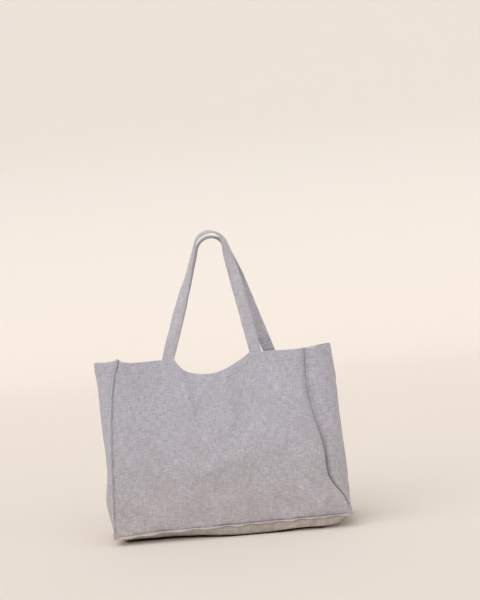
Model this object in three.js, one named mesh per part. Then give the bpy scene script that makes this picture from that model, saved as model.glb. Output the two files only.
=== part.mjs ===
// A cloth shopping bag: five sewn panels with pinched seams, a folded hem round
// the mouth and two flat strap handles held up as they are when the bag hangs on a rail.
// Millimetres. +X is the bag's right, -Y its front, +Z up. The origin is on the
// floor, under the middle of the base.

import * as THREE from 'three';

// Body, measured between its seams
const BAG_WIDTH = 490;
const BAG_DEPTH = 150;
const BAG_HEIGHT = 372; // floor to the mouth edge at the handles
const MOUTH_DEPTH = 90; // between the front and the back corner seams at the mouth

// Cloth, hem and seams
const CLOTH_THICKNESS = 1.2;
const HEM_DEPTH = 25;
const HEM_THICKNESS = 2 * CLOTH_THICKNESS;
const HEM_STEP = 0.002; // share of the height over which the cloth doubles
const SEAM_HEIGHT = 4; // how far a pinched seam stands out
const SEAM_THICKNESS = 2 * CLOTH_THICKNESS;
const SEAM_ROOT = 2.6; // how far a seam reaches in between its panels
const GAP = 0.3; // clearance between neighbouring pieces
const FLANK_GAP = 0.5; // clearance between a curved panel's edge and its seam
const THREAD_WIDTH = 0.8;
const THREAD_HEIGHT = 0.5;
const HEM_STITCH_INSET = 1; // hem stitching above the turned edge inside

// Handles
const STRAP_WIDTH = 25;
const STRAP_THICKNESS = 2;
const STRAP_LENGTH = 570; // free length of each handle
const TAB_LENGTH = HEM_DEPTH - 2 * HEM_STITCH_INSET; // sewn end inside the hem
const TAB_STITCH_INSET = 3;
const FRONT_HANDLE_X = [-107, 77];
const BACK_HANDLE_X = [-111, 106];
const TOP_BEND_RADIUS = 33;
const TOP_BEND_X = 2.5;
const HANDLE_CLEARANCE = 2; // between the two handles' edges where they are held
const LEFT_TWIST_RUN = STRAP_LENGTH / 2; // from the middle of the bend, where the strap is edge on
const RIGHT_TWIST_RUN = 115; // the same on the right, where the strap turns more sharply
const HANDLE_START = 0.7; // free strap above its fold line

// How the body hangs
const MOUTH_GAP = 36; // between front and back at the handles
const MOUTH_BOW = 6; // extra opening between the handles
const PULL_POWER = 1.5; // how late, going up, the walls draw in to the handles
const FRONT_SAG = 36; // of the mouth edge between the handles
const BACK_SAG = 40;
const BACK_DROP = 6; // the back of the mouth hangs lower
const SAG_POWER_LEFT = 3; // larger is flatter in the middle and steeper by the handle
const SAG_POWER_RIGHT = 1.6;
const FRONT_EARS = [10, 2]; // rise of the mouth's left and right corner
const BACK_EARS = [0, 0];
const EAR_RUN = 15;
const SIDE_MOUTH_RISE = 4;
const MOUTH_SHIFT = -14; // sideways lean of the mouth
const LEFT_SWELL = 6; // how far a side panel's middle stands out past the base corners
const RIGHT_SWELL = 5;
const SIDE_SWELL_RUN = 23;
const LEFT_SLUMP = 12; // the left one's further bulge, where its cloth slumps low down
const LEFT_SLUMP_HEIGHT = 55; // above the bottom seam
const LEFT_SLUMP_RUN = 55;
const SIDE_ROUNDNESS = 2.2; // 1 is a sharp crease down each side, 2 a round side
const LEFT_SEAM_DRAW = 16; // how far the seams run in from the base corners
const LEFT_SEAM_CURL = 18; // and again close to the mouth
const LEFT_CURL_POWER = 6;
const RIGHT_FOLD_DRAW = 37;
const RIGHT_FOLD_HEIGHT = 62;
const RIGHT_FOLD_POWER = 3;
const RIGHT_UPPER_DRAW = 28;
const RIGHT_UPPER_START = 122;
const RIGHT_UPPER_RUN = 150;
const PANEL_FULLNESS = 9; // swell of the large walls between their seams
const PANEL_SQUARENESS = 4; // larger is flatter in the middle
const FOLD_DEPTH = 6; // soft fold below the mouth, beside the left handle
const FOLD_WIDTH = 20;
const FOLD_TOP_X = -60;
const FOLD_LEAN = 0.17;
const FOLD_LOW = 170; // height where the fold has died out
const FOLD_RUN = 130;
const BELLY_RISE = 5; // soft bulge in the lower half of each large wall
const BELLY_X = 30;
const BELLY_HEIGHT = 165;
const BELLY_WIDTH = 60;
const BELLY_TALL = 50;

// Base
const SEAM_LIFT = 25; // bottom seam above the floor, at mid-width
const SEAM_LIFT_TILT = 3;
const CORNER_DIP = 5; // of the bottom seam, towards the left corners
const CORNER_DIP_RUN = 110;
const LEFT_SIDE_ROUND = 62; // width of the rounding from the bottom seam to the floor
const RIGHT_SIDE_ROUND = 14;
const SIDE_ROUND_CHANGE = [-150, 10]; // where the first width turns into the second
const LEFT_END_ROUND = 28;
const RIGHT_END_ROUND = 64;

// Faces along each piece
const ACROSS_WALL = [5, 2, 8, 2, 5]; // between the corners and the handles' edges
const ACROSS_SIDE = [8];
const ALONG_BASE = [4, 12, 4];
const ACROSS_BASE = [3, 3, 3];
const UP = 17;
const LEG_STEPS = 12;
const BEND_STEPS = 14;

const CLOTH_COLOUR = 0xb2adb3;
const STRAP_COLOUR = 0xb3aaad;
const THREAD_COLOUR = 0xc2bcc0;

const point = (x, y, z) => new THREE.Vector3(x, y, z);
const lerp = THREE.MathUtils.lerp;
const clamp01 = (t) => THREE.MathUtils.clamp(t, 0, 1);
const smooth = (t) => THREE.MathUtils.smoothstep(t, 0, 1);

function material(colour, roughness) {
  return new THREE.MeshStandardMaterial({ color: colour, roughness, metalness: 0 });
}

const clothMaterial = () => material(CLOTH_COLOUR, 0.92);
const strapMaterial = () => material(STRAP_COLOUR, 0.9);
const threadMaterial = () => material(THREAD_COLOUR, 0.75);

// Height of the bottom seam above the floor
function seamLift(x) {
  const dip = CORNER_DIP * (1 - smooth((x + BAG_WIDTH / 2) / CORNER_DIP_RUN));
  return SEAM_LIFT + SEAM_LIFT_TILT * (2 * x / BAG_WIDTH) - dip;
}

// 0 at the bottom seam, 1 at the mouth
const rise = (x, z) => (z - seamLift(x)) / (BAG_HEIGHT - seamLift(x));
const sideRise = (side, z) => rise(side * BAG_WIDTH / 2, z);

// Sideways place of a corner seam; side is -1 for left, 1 for right
function seamX(side, z) {
  const t = Math.max(sideRise(side, z), 0);
  if (side < 0) {
    return -BAG_WIDTH / 2 + LEFT_SEAM_DRAW * t + LEFT_SEAM_CURL * t ** LEFT_CURL_POWER;
  }
  const height = t * (BAG_HEIGHT - SEAM_LIFT);
  const fold = RIGHT_FOLD_DRAW * (1 - Math.exp(-((height / RIGHT_FOLD_HEIGHT) ** RIGHT_FOLD_POWER)));
  const upper = RIGHT_UPPER_DRAW * smooth((height - RIGHT_UPPER_START) / RIGHT_UPPER_RUN);
  return BAG_WIDTH / 2 - fold - upper;
}

// Sideways place of a side panel's middle, its outermost line
function creaseX(side, z) {
  const t = Math.max(sideRise(side, z), 0);
  const height = t * (BAG_HEIGHT - SEAM_LIFT);
  const slump = LEFT_SLUMP * Math.exp(-(((height - LEFT_SLUMP_HEIGHT) / LEFT_SLUMP_RUN) ** 2));
  const most = side < 0 ? LEFT_SWELL + slump : RIGHT_SWELL;
  const swell = most * (1 - Math.exp(-height / SIDE_SWELL_RUN));
  return side * (BAG_WIDTH / 2 + swell) + MOUTH_SHIFT * t;
}

// Distance of the corner seams from the bag's middle plane
const seamDepth = (t) => lerp(BAG_DEPTH / 2, MOUTH_DEPTH / 2, t);

// What is special to each large wall: which way it faces, its handle and its mouth edge
const FRONT = {
  facing: -1,
  handleX: FRONT_HANDLE_X,
  height: BAG_HEIGHT,
  sag: FRONT_SAG,
  ears: FRONT_EARS,
};
const BACK = {
  facing: 1,
  handleX: BACK_HANDLE_X,
  height: BAG_HEIGHT - BACK_DROP,
  sag: BACK_SAG,
  ears: BACK_EARS,
};

// Height of the mouth edge of a large wall
function mouthHeight(x, { handleX, height, sag, ears }) {
  const left = seamX(-1, BAG_HEIGHT);
  const right = seamX(1, BAG_HEIGHT);
  const rises = ears[0] * Math.exp((left - x) / EAR_RUN) + ears[1] * Math.exp((x - right) / EAR_RUN);
  const middle = (handleX[0] + handleX[1]) / 2;
  const halfSpan = (handleX[1] - handleX[0] - STRAP_WIDTH) / 2;
  const across = clamp01(Math.abs(x - middle) / halfSpan);
  const power = x < middle ? SAG_POWER_LEFT : SAG_POWER_RIGHT;
  return height + rises - sag * (1 - across ** power);
}

// Distance of a large wall's outside from the middle plane at a place x, z
function wallDepth(x, z, { facing, handleX }) {
  const t = rise(x, z);
  const left = seamX(-1, z);
  const right = seamX(1, z);
  const u = clamp01((x - left) / (right - left));
  const middling = 1 - Math.abs(2 * u - 1) ** PANEL_SQUARENESS;
  const full = PANEL_FULLNESS * middling * Math.sin(Math.PI * clamp01(t));
  const half = STRAP_WIDTH / 2;
  const fromLeft = smooth((x - left) / (handleX[0] - half - left));
  const fromRight = smooth((right - x) / (right - handleX[1] - half));
  const span = handleX[1] - handleX[0] - STRAP_WIDTH;
  const between = clamp01((x - handleX[0] - half) / span);
  const bow = MOUTH_BOW / 2 * Math.sin(Math.PI * between);
  const drawnIn = (MOUTH_DEPTH - MOUTH_GAP) / 2 * Math.min(fromLeft, fromRight) - bow;
  const pull = drawnIn * Math.max(t, 0) ** PULL_POWER;
  const foldX = -facing * (FOLD_TOP_X + FOLD_LEAN * (BAG_HEIGHT - z));
  const inFold = Math.exp(-(((x - foldX) / FOLD_WIDTH) ** 2));
  const fold = FOLD_DEPTH * inFold * smooth((z - FOLD_LOW) / FOLD_RUN);
  const bellyX = (x + facing * BELLY_X) / BELLY_WIDTH;
  const bellyZ = (z - BELLY_HEIGHT) / BELLY_TALL;
  const belly = BELLY_RISE * Math.exp(-(bellyX ** 2) - bellyZ ** 2);
  return seamDepth(t) + full - pull - fold + belly;
}

// Every wall is a surface of u, going round the bag against the clock as seen
// from above, and v, going up from the bottom seam to the mouth.
function largeWall(which) {
  return (u, v) => {
    const across = which.facing < 0 ? u : 1 - u;
    const mouthX = lerp(seamX(-1, BAG_HEIGHT), seamX(1, BAG_HEIGHT), across);
    const baseX = lerp(-BAG_WIDTH / 2, BAG_WIDTH / 2, across);
    const z = lerp(seamLift(baseX), mouthHeight(mouthX, which), v);
    const x = lerp(seamX(-1, z), seamX(1, z), across);
    return point(x, which.facing * wallDepth(x, z, which), z);
  };
}

function sideWall(side) {
  return (u, v) => {
    const back = side > 0 ? u : 1 - u;
    const low = seamLift(side * BAG_WIDTH / 2);
    const end = side < 0 ? 0 : 1;
    const corner = lerp(FRONT.height + FRONT.ears[end], BACK.height + BACK.ears[end], clamp01(back));
    const top = lerp(corner, BAG_HEIGHT + SIDE_MOUTH_RISE, Math.sin(Math.PI * clamp01(back)));
    const z = lerp(low, top, v);
    const inner = seamX(side, z);
    const round = 1 - Math.abs(2 * back - 1) ** SIDE_ROUNDNESS;
    const x = inner + (creaseX(side, z) - inner) * round;
    return point(x, lerp(-1, 1, back) * seamDepth(sideRise(side, z)), z);
  };
}

// Width of the base's rounding along its front and back, wide on the left
function sideRound(x) {
  const [from, to] = SIDE_ROUND_CHANGE;
  return lerp(LEFT_SIDE_ROUND, RIGHT_SIDE_ROUND, smooth((x - from) / (to - from)));
}

// The base goes from front to back in u and from left to right in v
function baseFloor(u, v) {
  const x = lerp(-BAG_WIDTH / 2, BAG_WIDTH / 2, v);
  const y = lerp(-BAG_DEPTH / 2, BAG_DEPTH / 2, u);
  const endRound = x < 0 ? LEFT_END_ROUND : RIGHT_END_ROUND;
  const end = (1 - clamp01((BAG_WIDTH / 2 - Math.abs(x)) / endRound)) ** 2;
  const edge = (1 - clamp01((BAG_DEPTH / 2 - Math.abs(y)) / sideRound(x))) ** 2;
  return point(x, y, seamLift(x) * (1 - (1 - end) * (1 - edge)));
}

const frontWall = largeWall(FRONT);
const backWall = largeWall(BACK);
const leftWall = sideWall(-1);
const rightWall = sideWall(1);

// Outward direction of a surface, and its millimetres per unit of u or v
const STEP = 1e-3;

function outward(surface, u, v) {
  const along = surface(Math.min(u + STEP, 1), v).sub(surface(Math.max(u - STEP, 0), v));
  const up = surface(u, v + STEP).sub(surface(u, Math.max(v - STEP, 0)));
  return along.cross(up).normalize();
}

function baseOutward(place) {
  return outward(baseFloor, clamp01(place.y / BAG_DEPTH + 0.5), clamp01(place.x / BAG_WIDTH + 0.5));
}

const stretchU = (surface, u, v, way) => surface(u + way * STEP, v).distanceTo(surface(u, v)) / STEP;
const stretchV = (surface, u, v, way) => surface(u, v + way * STEP).distanceTo(surface(u, v)) / STEP;

// A closed skin over rings of equal length, each the outer points of a section
// followed by its inner points in reverse. Open ends are closed across the wall.
function skin(rings, closed = false) {
  const count = rings[0].length;
  const places = rings.flat();
  const faces = [];
  const quad = (a, b, c, d) => faces.push([a, b, c], [a, c, d]);
  const bands = closed ? rings.length : rings.length - 1;
  for (let j = 0; j < bands; j += 1) {
    const low = j * count;
    const high = ((j + 1) % rings.length) * count;
    for (let i = 0; i < count; i += 1) {
      const next = (i + 1) % count;
      quad(low + i, low + next, high + next, high + i);
    }
  }
  if (!closed) {
    const last = (rings.length - 1) * count;
    for (let i = 0; i < count / 2 - 1; i += 1) {
      quad(i, count - 1 - i, count - 2 - i, i + 1);
      quad(last + i, last + i + 1, last + count - 2 - i, last + count - 1 - i);
    }
  }
  const signed = ([a, b, c]) => places[a].dot(places[b].clone().cross(places[c]));
  const volume = faces.reduce((sum, face) => sum + signed(face), 0);
  const order = volume < 0 ? faces.map(([a, b, c]) => [a, c, b]) : faces;
  const geometry = new THREE.BufferGeometry().setFromPoints(places);
  geometry.setIndex(order.flat());
  geometry.computeVertexNormals();
  return geometry;
}

// How far a panel's outer and inner edges stop short of a seam between panels
// with these outward directions, so that they lie along the seam's flank
function seamTrim(normalA, normalB, thickness) {
  const half = normalA.angleTo(normalB) / 2;
  const outer = (SEAM_THICKNESS / 2 + FLANK_GAP) / Math.cos(half);
  return [outer, outer + thickness * Math.tan(half)];
}

const shares = (steps) => Array.from({ length: steps + 1 }, (_, i) => i / steps);

// Shares from 0 to 1 that pass through the given breaks, with steps between them
function stations(breaks, steps) {
  const ends = [0, ...breaks, 1];
  const between = (i) => shares(steps[i]).slice(1).map((share) => lerp(ends[i], ends[i + 1], share));
  return [0, ...steps.flatMap((_, i) => between(i))];
}

// Columns of a large wall, which keep its cloth flat behind each handle's end
function wallColumns({ facing, handleX }) {
  const left = seamX(-1, BAG_HEIGHT);
  const right = seamX(1, BAG_HEIGHT);
  const edges = handleX.flatMap((x) => [x - STRAP_WIDTH / 2, x + STRAP_WIDTH / 2]);
  const columns = stations(edges.map((x) => (x - left) / (right - left)), ACROSS_WALL);
  return facing < 0 ? columns : columns.map((share) => 1 - share).reverse();
}

// A ring of a cloth panel from its outer points and their inner fellows
const sheetRing = (face) => [...face(0), ...face(1).reverse()];

// Rows up a wall with their thickness; two lie close together where the hem ends
function wallRows() {
  const hem = 1 - HEM_DEPTH / (BAG_HEIGHT - SEAM_LIFT);
  const single = shares(UP).map((share) => [share * hem, CLOTH_THICKNESS]);
  return [...single, [hem + HEM_STEP, HEM_THICKNESS], [(1 + hem) / 2, HEM_THICKNESS], [1, HEM_THICKNESS]];
}

// A wall between its neighbours round the bag, thicker in its hem
function wallPanel(wall, before, after, columns) {
  const rings = wallRows().map(([height, thickness]) => {
    const start = seamTrim(outward(wall, 0, height), outward(before, 1, height), thickness);
    const end = seamTrim(outward(wall, 1, height), outward(after, 0, height), thickness);
    return sheetRing((inner) => columns.map((share) => {
      const first = start[inner] / stretchU(wall, 0, height, 1);
      const last = 1 - end[inner] / stretchU(wall, 1, height, -1);
      const u = lerp(first, last, share);
      const low = seamTrim(outward(wall, u, 0), baseOutward(wall(u, 0)), CLOTH_THICKNESS);
      const v = lerp(low[inner] / stretchV(wall, u, 0, 1), 1, height);
      return wall(u, v).addScaledVector(outward(wall, u, v), -thickness * inner);
    }));
  });
  return skin(rings);
}

function basePanel() {
  const trims = (out, wall, u) => seamTrim(outward(wall, u, 0), out, CLOTH_THICKNESS);
  const ends = [LEFT_END_ROUND / BAG_WIDTH, 1 - RIGHT_END_ROUND / BAG_WIDTH];
  const acrossBase = (along) => {
    const round = sideRound((along - 0.5) * BAG_WIDTH) / BAG_DEPTH;
    return stations([round, 1 - round], ACROSS_BASE);
  };
  const ringAt = (along) => sheetRing((inner) => acrossBase(along).map((across) => {
    const frontTrim = trims(outward(baseFloor, 0, along), frontWall, along)[inner];
    const backTrim = trims(outward(baseFloor, 1, along), backWall, 1 - along)[inner];
    const first = frontTrim / stretchU(baseFloor, 0, along, 1);
    const last = 1 - backTrim / stretchU(baseFloor, 1, along, -1);
    const u = lerp(first, last, across);
    const leftTrim = trims(outward(baseFloor, u, 0), leftWall, 1 - u)[inner];
    const rightTrim = trims(outward(baseFloor, u, 1), rightWall, u)[inner];
    const left = leftTrim / stretchV(baseFloor, u, 0, 1);
    const right = 1 - rightTrim / stretchV(baseFloor, u, 1, -1);
    const v = lerp(left, right, along);
    return baseFloor(u, v).addScaledVector(outward(baseFloor, u, v), -CLOTH_THICKNESS * inner);
  }));
  return skin(stations(ends, ALONG_BASE).map(ringAt));
}

// A pinched seam: a thin fin along place(t), standing out midway between the
// outward directions of the two panels it joins
function pinchedSeam(place, directions, from, to, stops) {
  const rings = stops.map((share) => {
    const t = lerp(from, to, share);
    const [directionA, directionB] = directions(t);
    const out = directionA.add(directionB).normalize();
    const along = place(Math.min(t + STEP, 1)).sub(place(Math.max(t - STEP, 0)));
    const across = along.cross(out).setLength(SEAM_THICKNESS / 2);
    const tip = place(t).addScaledVector(out, SEAM_HEIGHT);
    const root = place(t).addScaledVector(out, -SEAM_ROOT);
    const corner = (end, way) => end.clone().addScaledVector(across, way);
    return [corner(tip, -1), corner(tip, 1), corner(root, 1), corner(root, -1)];
  });
  return skin(rings);
}

function cornerSeam(before, after) {
  const directions = (t) => [outward(before, 1, t), outward(after, 0, t)];
  const from = (SEAM_ROOT + GAP) / stretchV(before, 1, 0, 1);
  return pinchedSeam((t) => before(1, t), directions, from, 1, wallRows().map(([height]) => height));
}

function baseSeam(wall, endGap, columns) {
  const directions = (t) => [outward(wall, t, 0), baseOutward(wall(t, 0))];
  const trim = endGap / stretchU(wall, 0, 0, 1);
  return pinchedSeam((t) => wall(t, 0), directions, trim, 1 - trim, columns);
}

// A row of hem stitching along a wall, just below the fold of the hem
function hemStitching(wall, before, after, columns) {
  const rings = columns.map((share) => {
    const start = seamTrim(outward(wall, 0, 1), outward(before, 1, 1), 0)[0];
    const end = seamTrim(outward(wall, 1, 1), outward(after, 0, 1), 0)[0];
    const u = lerp(start / stretchU(wall, 0, 1, 1), 1 - end / stretchU(wall, 1, 1, -1), share);
    const v = 1 - (HEM_DEPTH - HEM_STITCH_INSET) / stretchV(wall, u, 1, -1);
    const out = outward(wall, u, v);
    const up = wall(u, v + STEP).sub(wall(u, v)).setLength(THREAD_WIDTH / 2);
    const low = wall(u, v).addScaledVector(out, GAP);
    const high = low.clone().addScaledVector(out, THREAD_HEIGHT);
    return [high.clone().sub(up), high.clone().add(up), low.clone().add(up), low.clone().sub(up)];
  });
  return skin(rings);
}

// A place on a large wall at x, z, moved outwards by a distance
function onLargeWall(which, x, z, distance) {
  const slope = (wallDepth(x, z + 1, which) - wallDepth(x, z - 1, which)) / 2;
  return point(x, which.facing * (wallDepth(x, z, which) + distance * Math.hypot(1, slope)), z);
}

// The sewn end of a strap, flat against the inside of the hem
function strapTab(which, x) {
  const near = -(HEM_THICKNESS + GAP);
  const far = near - STRAP_THICKNESS;
  const sides = [x - STRAP_WIDTH / 2, x + STRAP_WIDTH / 2];
  const rings = shares(3).map((share) => {
    const z = which.height - TAB_LENGTH * (1 - share);
    const face = (distance) => sides.map((side) => onLargeWall(which, side, z, distance));
    return [...face(near), ...face(far).reverse()];
  });
  return skin(rings);
}

// The box of stitches that holds a strap's end, on the outside of the hem
function tabStitching(which, x) {
  const corner = ([right, high], inset, distance) => {
    const reach = STRAP_WIDTH / 2 - TAB_STITCH_INSET - inset;
    const z = high
      ? which.height - TAB_STITCH_INSET - inset
      : which.height - TAB_LENGTH + TAB_STITCH_INSET + inset;
    return onLargeWall(which, x + (right ? reach : -reach), z, distance);
  };
  const corners = [[false, false], [true, false], [true, true], [false, true]];
  const rings = corners.map((place) => [
    corner(place, 0, GAP + THREAD_HEIGHT),
    corner(place, THREAD_WIDTH, GAP + THREAD_HEIGHT),
    corner(place, THREAD_WIDTH, GAP),
    corner(place, 0, GAP),
  ]);
  return skin(rings, true);
}

// A leg from its foot to where it touches the bend; way is 1 for the left leg
function leg(footX, footZ, bendZ, way) {
  const distance = Math.hypot(TOP_BEND_X - footX, bendZ - footZ);
  const toBend = Math.atan2(bendZ - footZ, TOP_BEND_X - footX);
  const heading = toBend + way * Math.asin(TOP_BEND_RADIUS / distance);
  return { heading, length: Math.sqrt(distance ** 2 - TOP_BEND_RADIUS ** 2) };
}

// The two legs and the bend of a handle whose bend is at a height
function handleRoute({ handleX, height }, bendZ) {
  const footZ = height + HANDLE_START;
  const first = leg(handleX[0], footZ, bendZ, 1);
  const second = leg(handleX[1], footZ, bendZ, -1);
  const turn = Math.PI + first.heading - second.heading;
  const length = first.length + second.length + TOP_BEND_RADIUS * turn;
  return { first, second, turn, length, bendZ, footZ };
}

// The height of the bend at which a strap has its own length
function fittedRoute(which) {
  let low = BAG_HEIGHT + 2 * TOP_BEND_RADIUS;
  let high = BAG_HEIGHT + STRAP_LENGTH / 2;
  for (let i = 0; i < 40; i += 1) {
    const middle = (low + high) / 2;
    if (handleRoute(which, middle).length < STRAP_LENGTH) {
      low = middle;
    } else {
      high = middle;
    }
  }
  return handleRoute(which, low);
}

// Stations along a handle: place in the handle's plane, heading, length from the
// nearer foot and from the middle of the bend, and the run of its twist
function handleStations(which) {
  const { first, second, turn, bendZ, footZ } = fittedRoute(which);
  const halfBend = TOP_BEND_RADIUS * turn / 2;
  const onLeg = (footX, { heading, length }, share) => ({
    x: footX + Math.cos(heading) * length * share,
    z: footZ + Math.sin(heading) * length * share,
    fromFoot: length * share,
    fromTop: halfBend + length * (1 - share),
  });
  const rising = shares(LEG_STEPS).map((share) => (
    { ...onLeg(which.handleX[0], first, share), heading: first.heading, run: LEFT_TWIST_RUN }));
  const over = shares(BEND_STEPS).slice(1, -1).map((share) => {
    const heading = first.heading - turn * share;
    return {
      x: TOP_BEND_X - TOP_BEND_RADIUS * Math.sin(heading),
      z: bendZ + TOP_BEND_RADIUS * Math.cos(heading),
      fromFoot: first.length,
      fromTop: halfBend * Math.abs(2 * share - 1),
      heading,
      run: share < 0.5 ? LEFT_TWIST_RUN : RIGHT_TWIST_RUN,
    };
  });
  const falling = shares(LEG_STEPS).reverse().map((share) => ({
    ...onLeg(which.handleX[1], second, share),
    heading: second.heading - Math.PI,
    run: RIGHT_TWIST_RUN,
  }));
  return [...rising, ...over, ...falling];
}

// A flat strap, facing front at its feet and edge on where it is held
function handle(which) {
  const footDepth = wallDepth(which.handleX[0], which.height, which);
  const footY = footDepth - HEM_THICKNESS - GAP - STRAP_THICKNESS / 2;
  const topY = (STRAP_WIDTH + HANDLE_CLEARANCE) / 2;
  const side = point(0, which.facing, 0);
  const rings = handleStations(which).map(({ x, z, heading, fromFoot, fromTop, run }) => {
    const along = point(Math.cos(heading), 0, Math.sin(heading));
    const level = point(Math.sign(Math.sin(heading)), 0, 0);
    const inPlane = point(Math.sin(heading), 0, -Math.cos(heading));
    const flat = level.lerp(inPlane, smooth(fromFoot / STRAP_WIDTH)).normalize();
    const twist = Math.PI / 2 * smooth(1 - fromTop / run);
    const width = flat.multiplyScalar(Math.cos(twist)).addScaledVector(side, Math.sin(twist));
    const depth = fromFoot === 0 ? point(0, -1, 0) : width.clone().cross(along).normalize();
    const y = lerp(topY, footY, smooth(fromTop / run));
    const place = point(x, which.facing * y, z);
    width.setLength(STRAP_WIDTH / 2);
    depth.setLength(STRAP_THICKNESS / 2);
    const at = (w, d) => place.clone().addScaledVector(width, w).addScaledVector(depth, d);
    return [at(-1, 1), at(1, 1), at(1, -1), at(-1, -1)];
  });
  return skin(rings);
}

const bag = new THREE.Group();

function add(name, geometry, finish) {
  const mesh = new THREE.Mesh(geometry, finish);
  mesh.name = name;
  bag.add(mesh);
}

// The walls in order round the bag, each with its columns
const walls = [
  ['front', frontWall, wallColumns(FRONT)],
  ['right', rightWall, stations([], ACROSS_SIDE)],
  ['back', backWall, wallColumns(BACK)],
  ['left', leftWall, stations([], ACROSS_SIDE)],
];

function addWalls() {
  walls.forEach(([side, wall, columns], i) => {
    const before = walls[(i + 3) % 4][1];
    const after = walls[(i + 1) % 4][1];
    const large = i % 2 === 0;
    const endGap = large ? SEAM_THICKNESS / 2 + GAP : SEAM_ROOT + GAP;
    const name = large ? `${side}_panel` : `${side}_gusset`;
    add(name, wallPanel(wall, before, after, columns), clothMaterial());
    add(`${side}_base_seam`, baseSeam(wall, endGap, columns), clothMaterial());
    add(`${side}_hem_stitching`, hemStitching(wall, before, after, columns), threadMaterial());
  });
  add('base_panel', basePanel(), clothMaterial());
}

function addCornerSeams() {
  add('front_right_seam', cornerSeam(frontWall, rightWall), clothMaterial());
  add('back_right_seam', cornerSeam(rightWall, backWall), clothMaterial());
  add('back_left_seam', cornerSeam(backWall, leftWall), clothMaterial());
  add('front_left_seam', cornerSeam(leftWall, frontWall), clothMaterial());
}

function addHandle(side, which) {
  add(`${side}_handle`, handle(which), strapMaterial());
  which.handleX.forEach((x, i) => {
    const end = i === 0 ? 'left' : 'right';
    add(`${side}_handle_${end}_tab`, strapTab(which, x), strapMaterial());
    add(`${side}_handle_${end}_stitching`, tabStitching(which, x), threadMaterial());
  });
}

addWalls();
addCornerSeams();
addHandle('front', FRONT);
addHandle('back', BACK);

export default bag;
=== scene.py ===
"""A cloth shopping bag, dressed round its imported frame.

Every piece is a surface worked out on whole arrays: a wall is a function of two
shares, u going round the bag and v going up it, and a seam, a strap or a row of
stitches is a profile carried along a path. Lengths are metres. +X is the bag's
right, -Y its front and +Z up.
"""

import math
from collections import namedtuple

import bpy
import numpy as np
from bpy.props import FloatProperty, FloatVectorProperty, PointerProperty
from bpy.types import Operator, Panel, PropertyGroup
from mathutils import Matrix, Vector


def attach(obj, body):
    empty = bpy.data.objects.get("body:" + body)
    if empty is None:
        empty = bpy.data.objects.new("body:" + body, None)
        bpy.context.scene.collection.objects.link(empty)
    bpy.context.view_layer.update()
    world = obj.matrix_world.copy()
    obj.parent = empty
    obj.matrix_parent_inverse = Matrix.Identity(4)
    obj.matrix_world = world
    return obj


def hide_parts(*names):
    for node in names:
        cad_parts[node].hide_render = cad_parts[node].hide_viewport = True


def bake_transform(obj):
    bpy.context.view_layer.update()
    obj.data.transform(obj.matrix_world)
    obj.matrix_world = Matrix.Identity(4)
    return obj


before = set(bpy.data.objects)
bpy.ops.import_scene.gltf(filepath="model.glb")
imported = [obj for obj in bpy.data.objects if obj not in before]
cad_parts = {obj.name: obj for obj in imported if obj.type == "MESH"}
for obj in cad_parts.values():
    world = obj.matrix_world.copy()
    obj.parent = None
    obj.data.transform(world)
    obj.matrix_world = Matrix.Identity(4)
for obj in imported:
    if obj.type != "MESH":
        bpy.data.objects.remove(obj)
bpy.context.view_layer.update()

bl_info = {
    "name": "Cloth Shopping Bag",
    "version": (1, 0, 0),
    "blender": (4, 5, 0),
    "location": "View3D > Sidebar > Shopping bag",
    "description": "Builds a sewn cloth shopping bag with gussets and strap handles",
    "category": "Object",
}

MM = 0.001

# Body, measured between its seams
BAG_WIDTH = 490 * MM
BAG_DEPTH = 150 * MM
BAG_HEIGHT = 372 * MM
MOUTH_DEPTH = 90 * MM
FLAT_HEIGHT = 350 * MM  # a wall's cloth from the bottom seam to the mouth

# How the body hangs
MOUTH_GAP = 36 * MM
MOUTH_BOW = 6 * MM
PULL_POWER = 1.5
SAG_POWER_LEFT = 3
SAG_POWER_RIGHT = 1.6
EAR_RUN = 15 * MM
SIDE_MOUTH_RISE = 4 * MM
MOUTH_SHIFT = -14 * MM
LEFT_SWELL = 6 * MM
RIGHT_SWELL = 5 * MM
SIDE_SWELL_RUN = 23 * MM
LEFT_SLUMP = 12 * MM
LEFT_SLUMP_HEIGHT = 55 * MM
LEFT_SLUMP_RUN = 55 * MM
SIDE_ROUNDNESS = 2.2
LEFT_SEAM_DRAW = 16 * MM
LEFT_SEAM_CURL = 18 * MM
LEFT_CURL_POWER = 6
RIGHT_FOLD_DRAW = 37 * MM
RIGHT_FOLD_HEIGHT = 62 * MM
RIGHT_FOLD_POWER = 3
RIGHT_UPPER_DRAW = 28 * MM
RIGHT_UPPER_START = 122 * MM
RIGHT_UPPER_RUN = 150 * MM
PANEL_FULLNESS = 9 * MM
PANEL_SQUARENESS = 4
FOLD_DEPTH = 6 * MM
FOLD_WIDTH = 20 * MM
FOLD_TOP_X = -60 * MM
FOLD_LEAN = 0.17
FOLD_LOW = 170 * MM
FOLD_RUN = 130 * MM
BELLY_RISE = 5 * MM
BELLY_X = 30 * MM
BELLY_HEIGHT = 165 * MM
BELLY_WIDTH = 60 * MM
BELLY_TALL = 50 * MM

# Base
SEAM_LIFT = 25 * MM
SEAM_LIFT_TILT = 3 * MM
CORNER_DIP = 5 * MM
CORNER_DIP_RUN = 110 * MM
LEFT_SIDE_ROUND = 62 * MM
RIGHT_SIDE_ROUND = 14 * MM
SIDE_ROUND_CHANGE = (-150 * MM, 10 * MM)
LEFT_END_ROUND = 28 * MM
RIGHT_END_ROUND = 64 * MM

# Handles
STRAP_LENGTH = 570 * MM
TOP_BEND_RADIUS = 33 * MM
TOP_BEND_X = 2.5 * MM
HANDLE_CLEARANCE = 2 * MM
LEFT_TWIST_RUN = STRAP_LENGTH / 2
RIGHT_TWIST_RUN = 115 * MM
HANDLE_START = 0.7 * MM
TAB_GAP = 0.3 * MM

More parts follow.
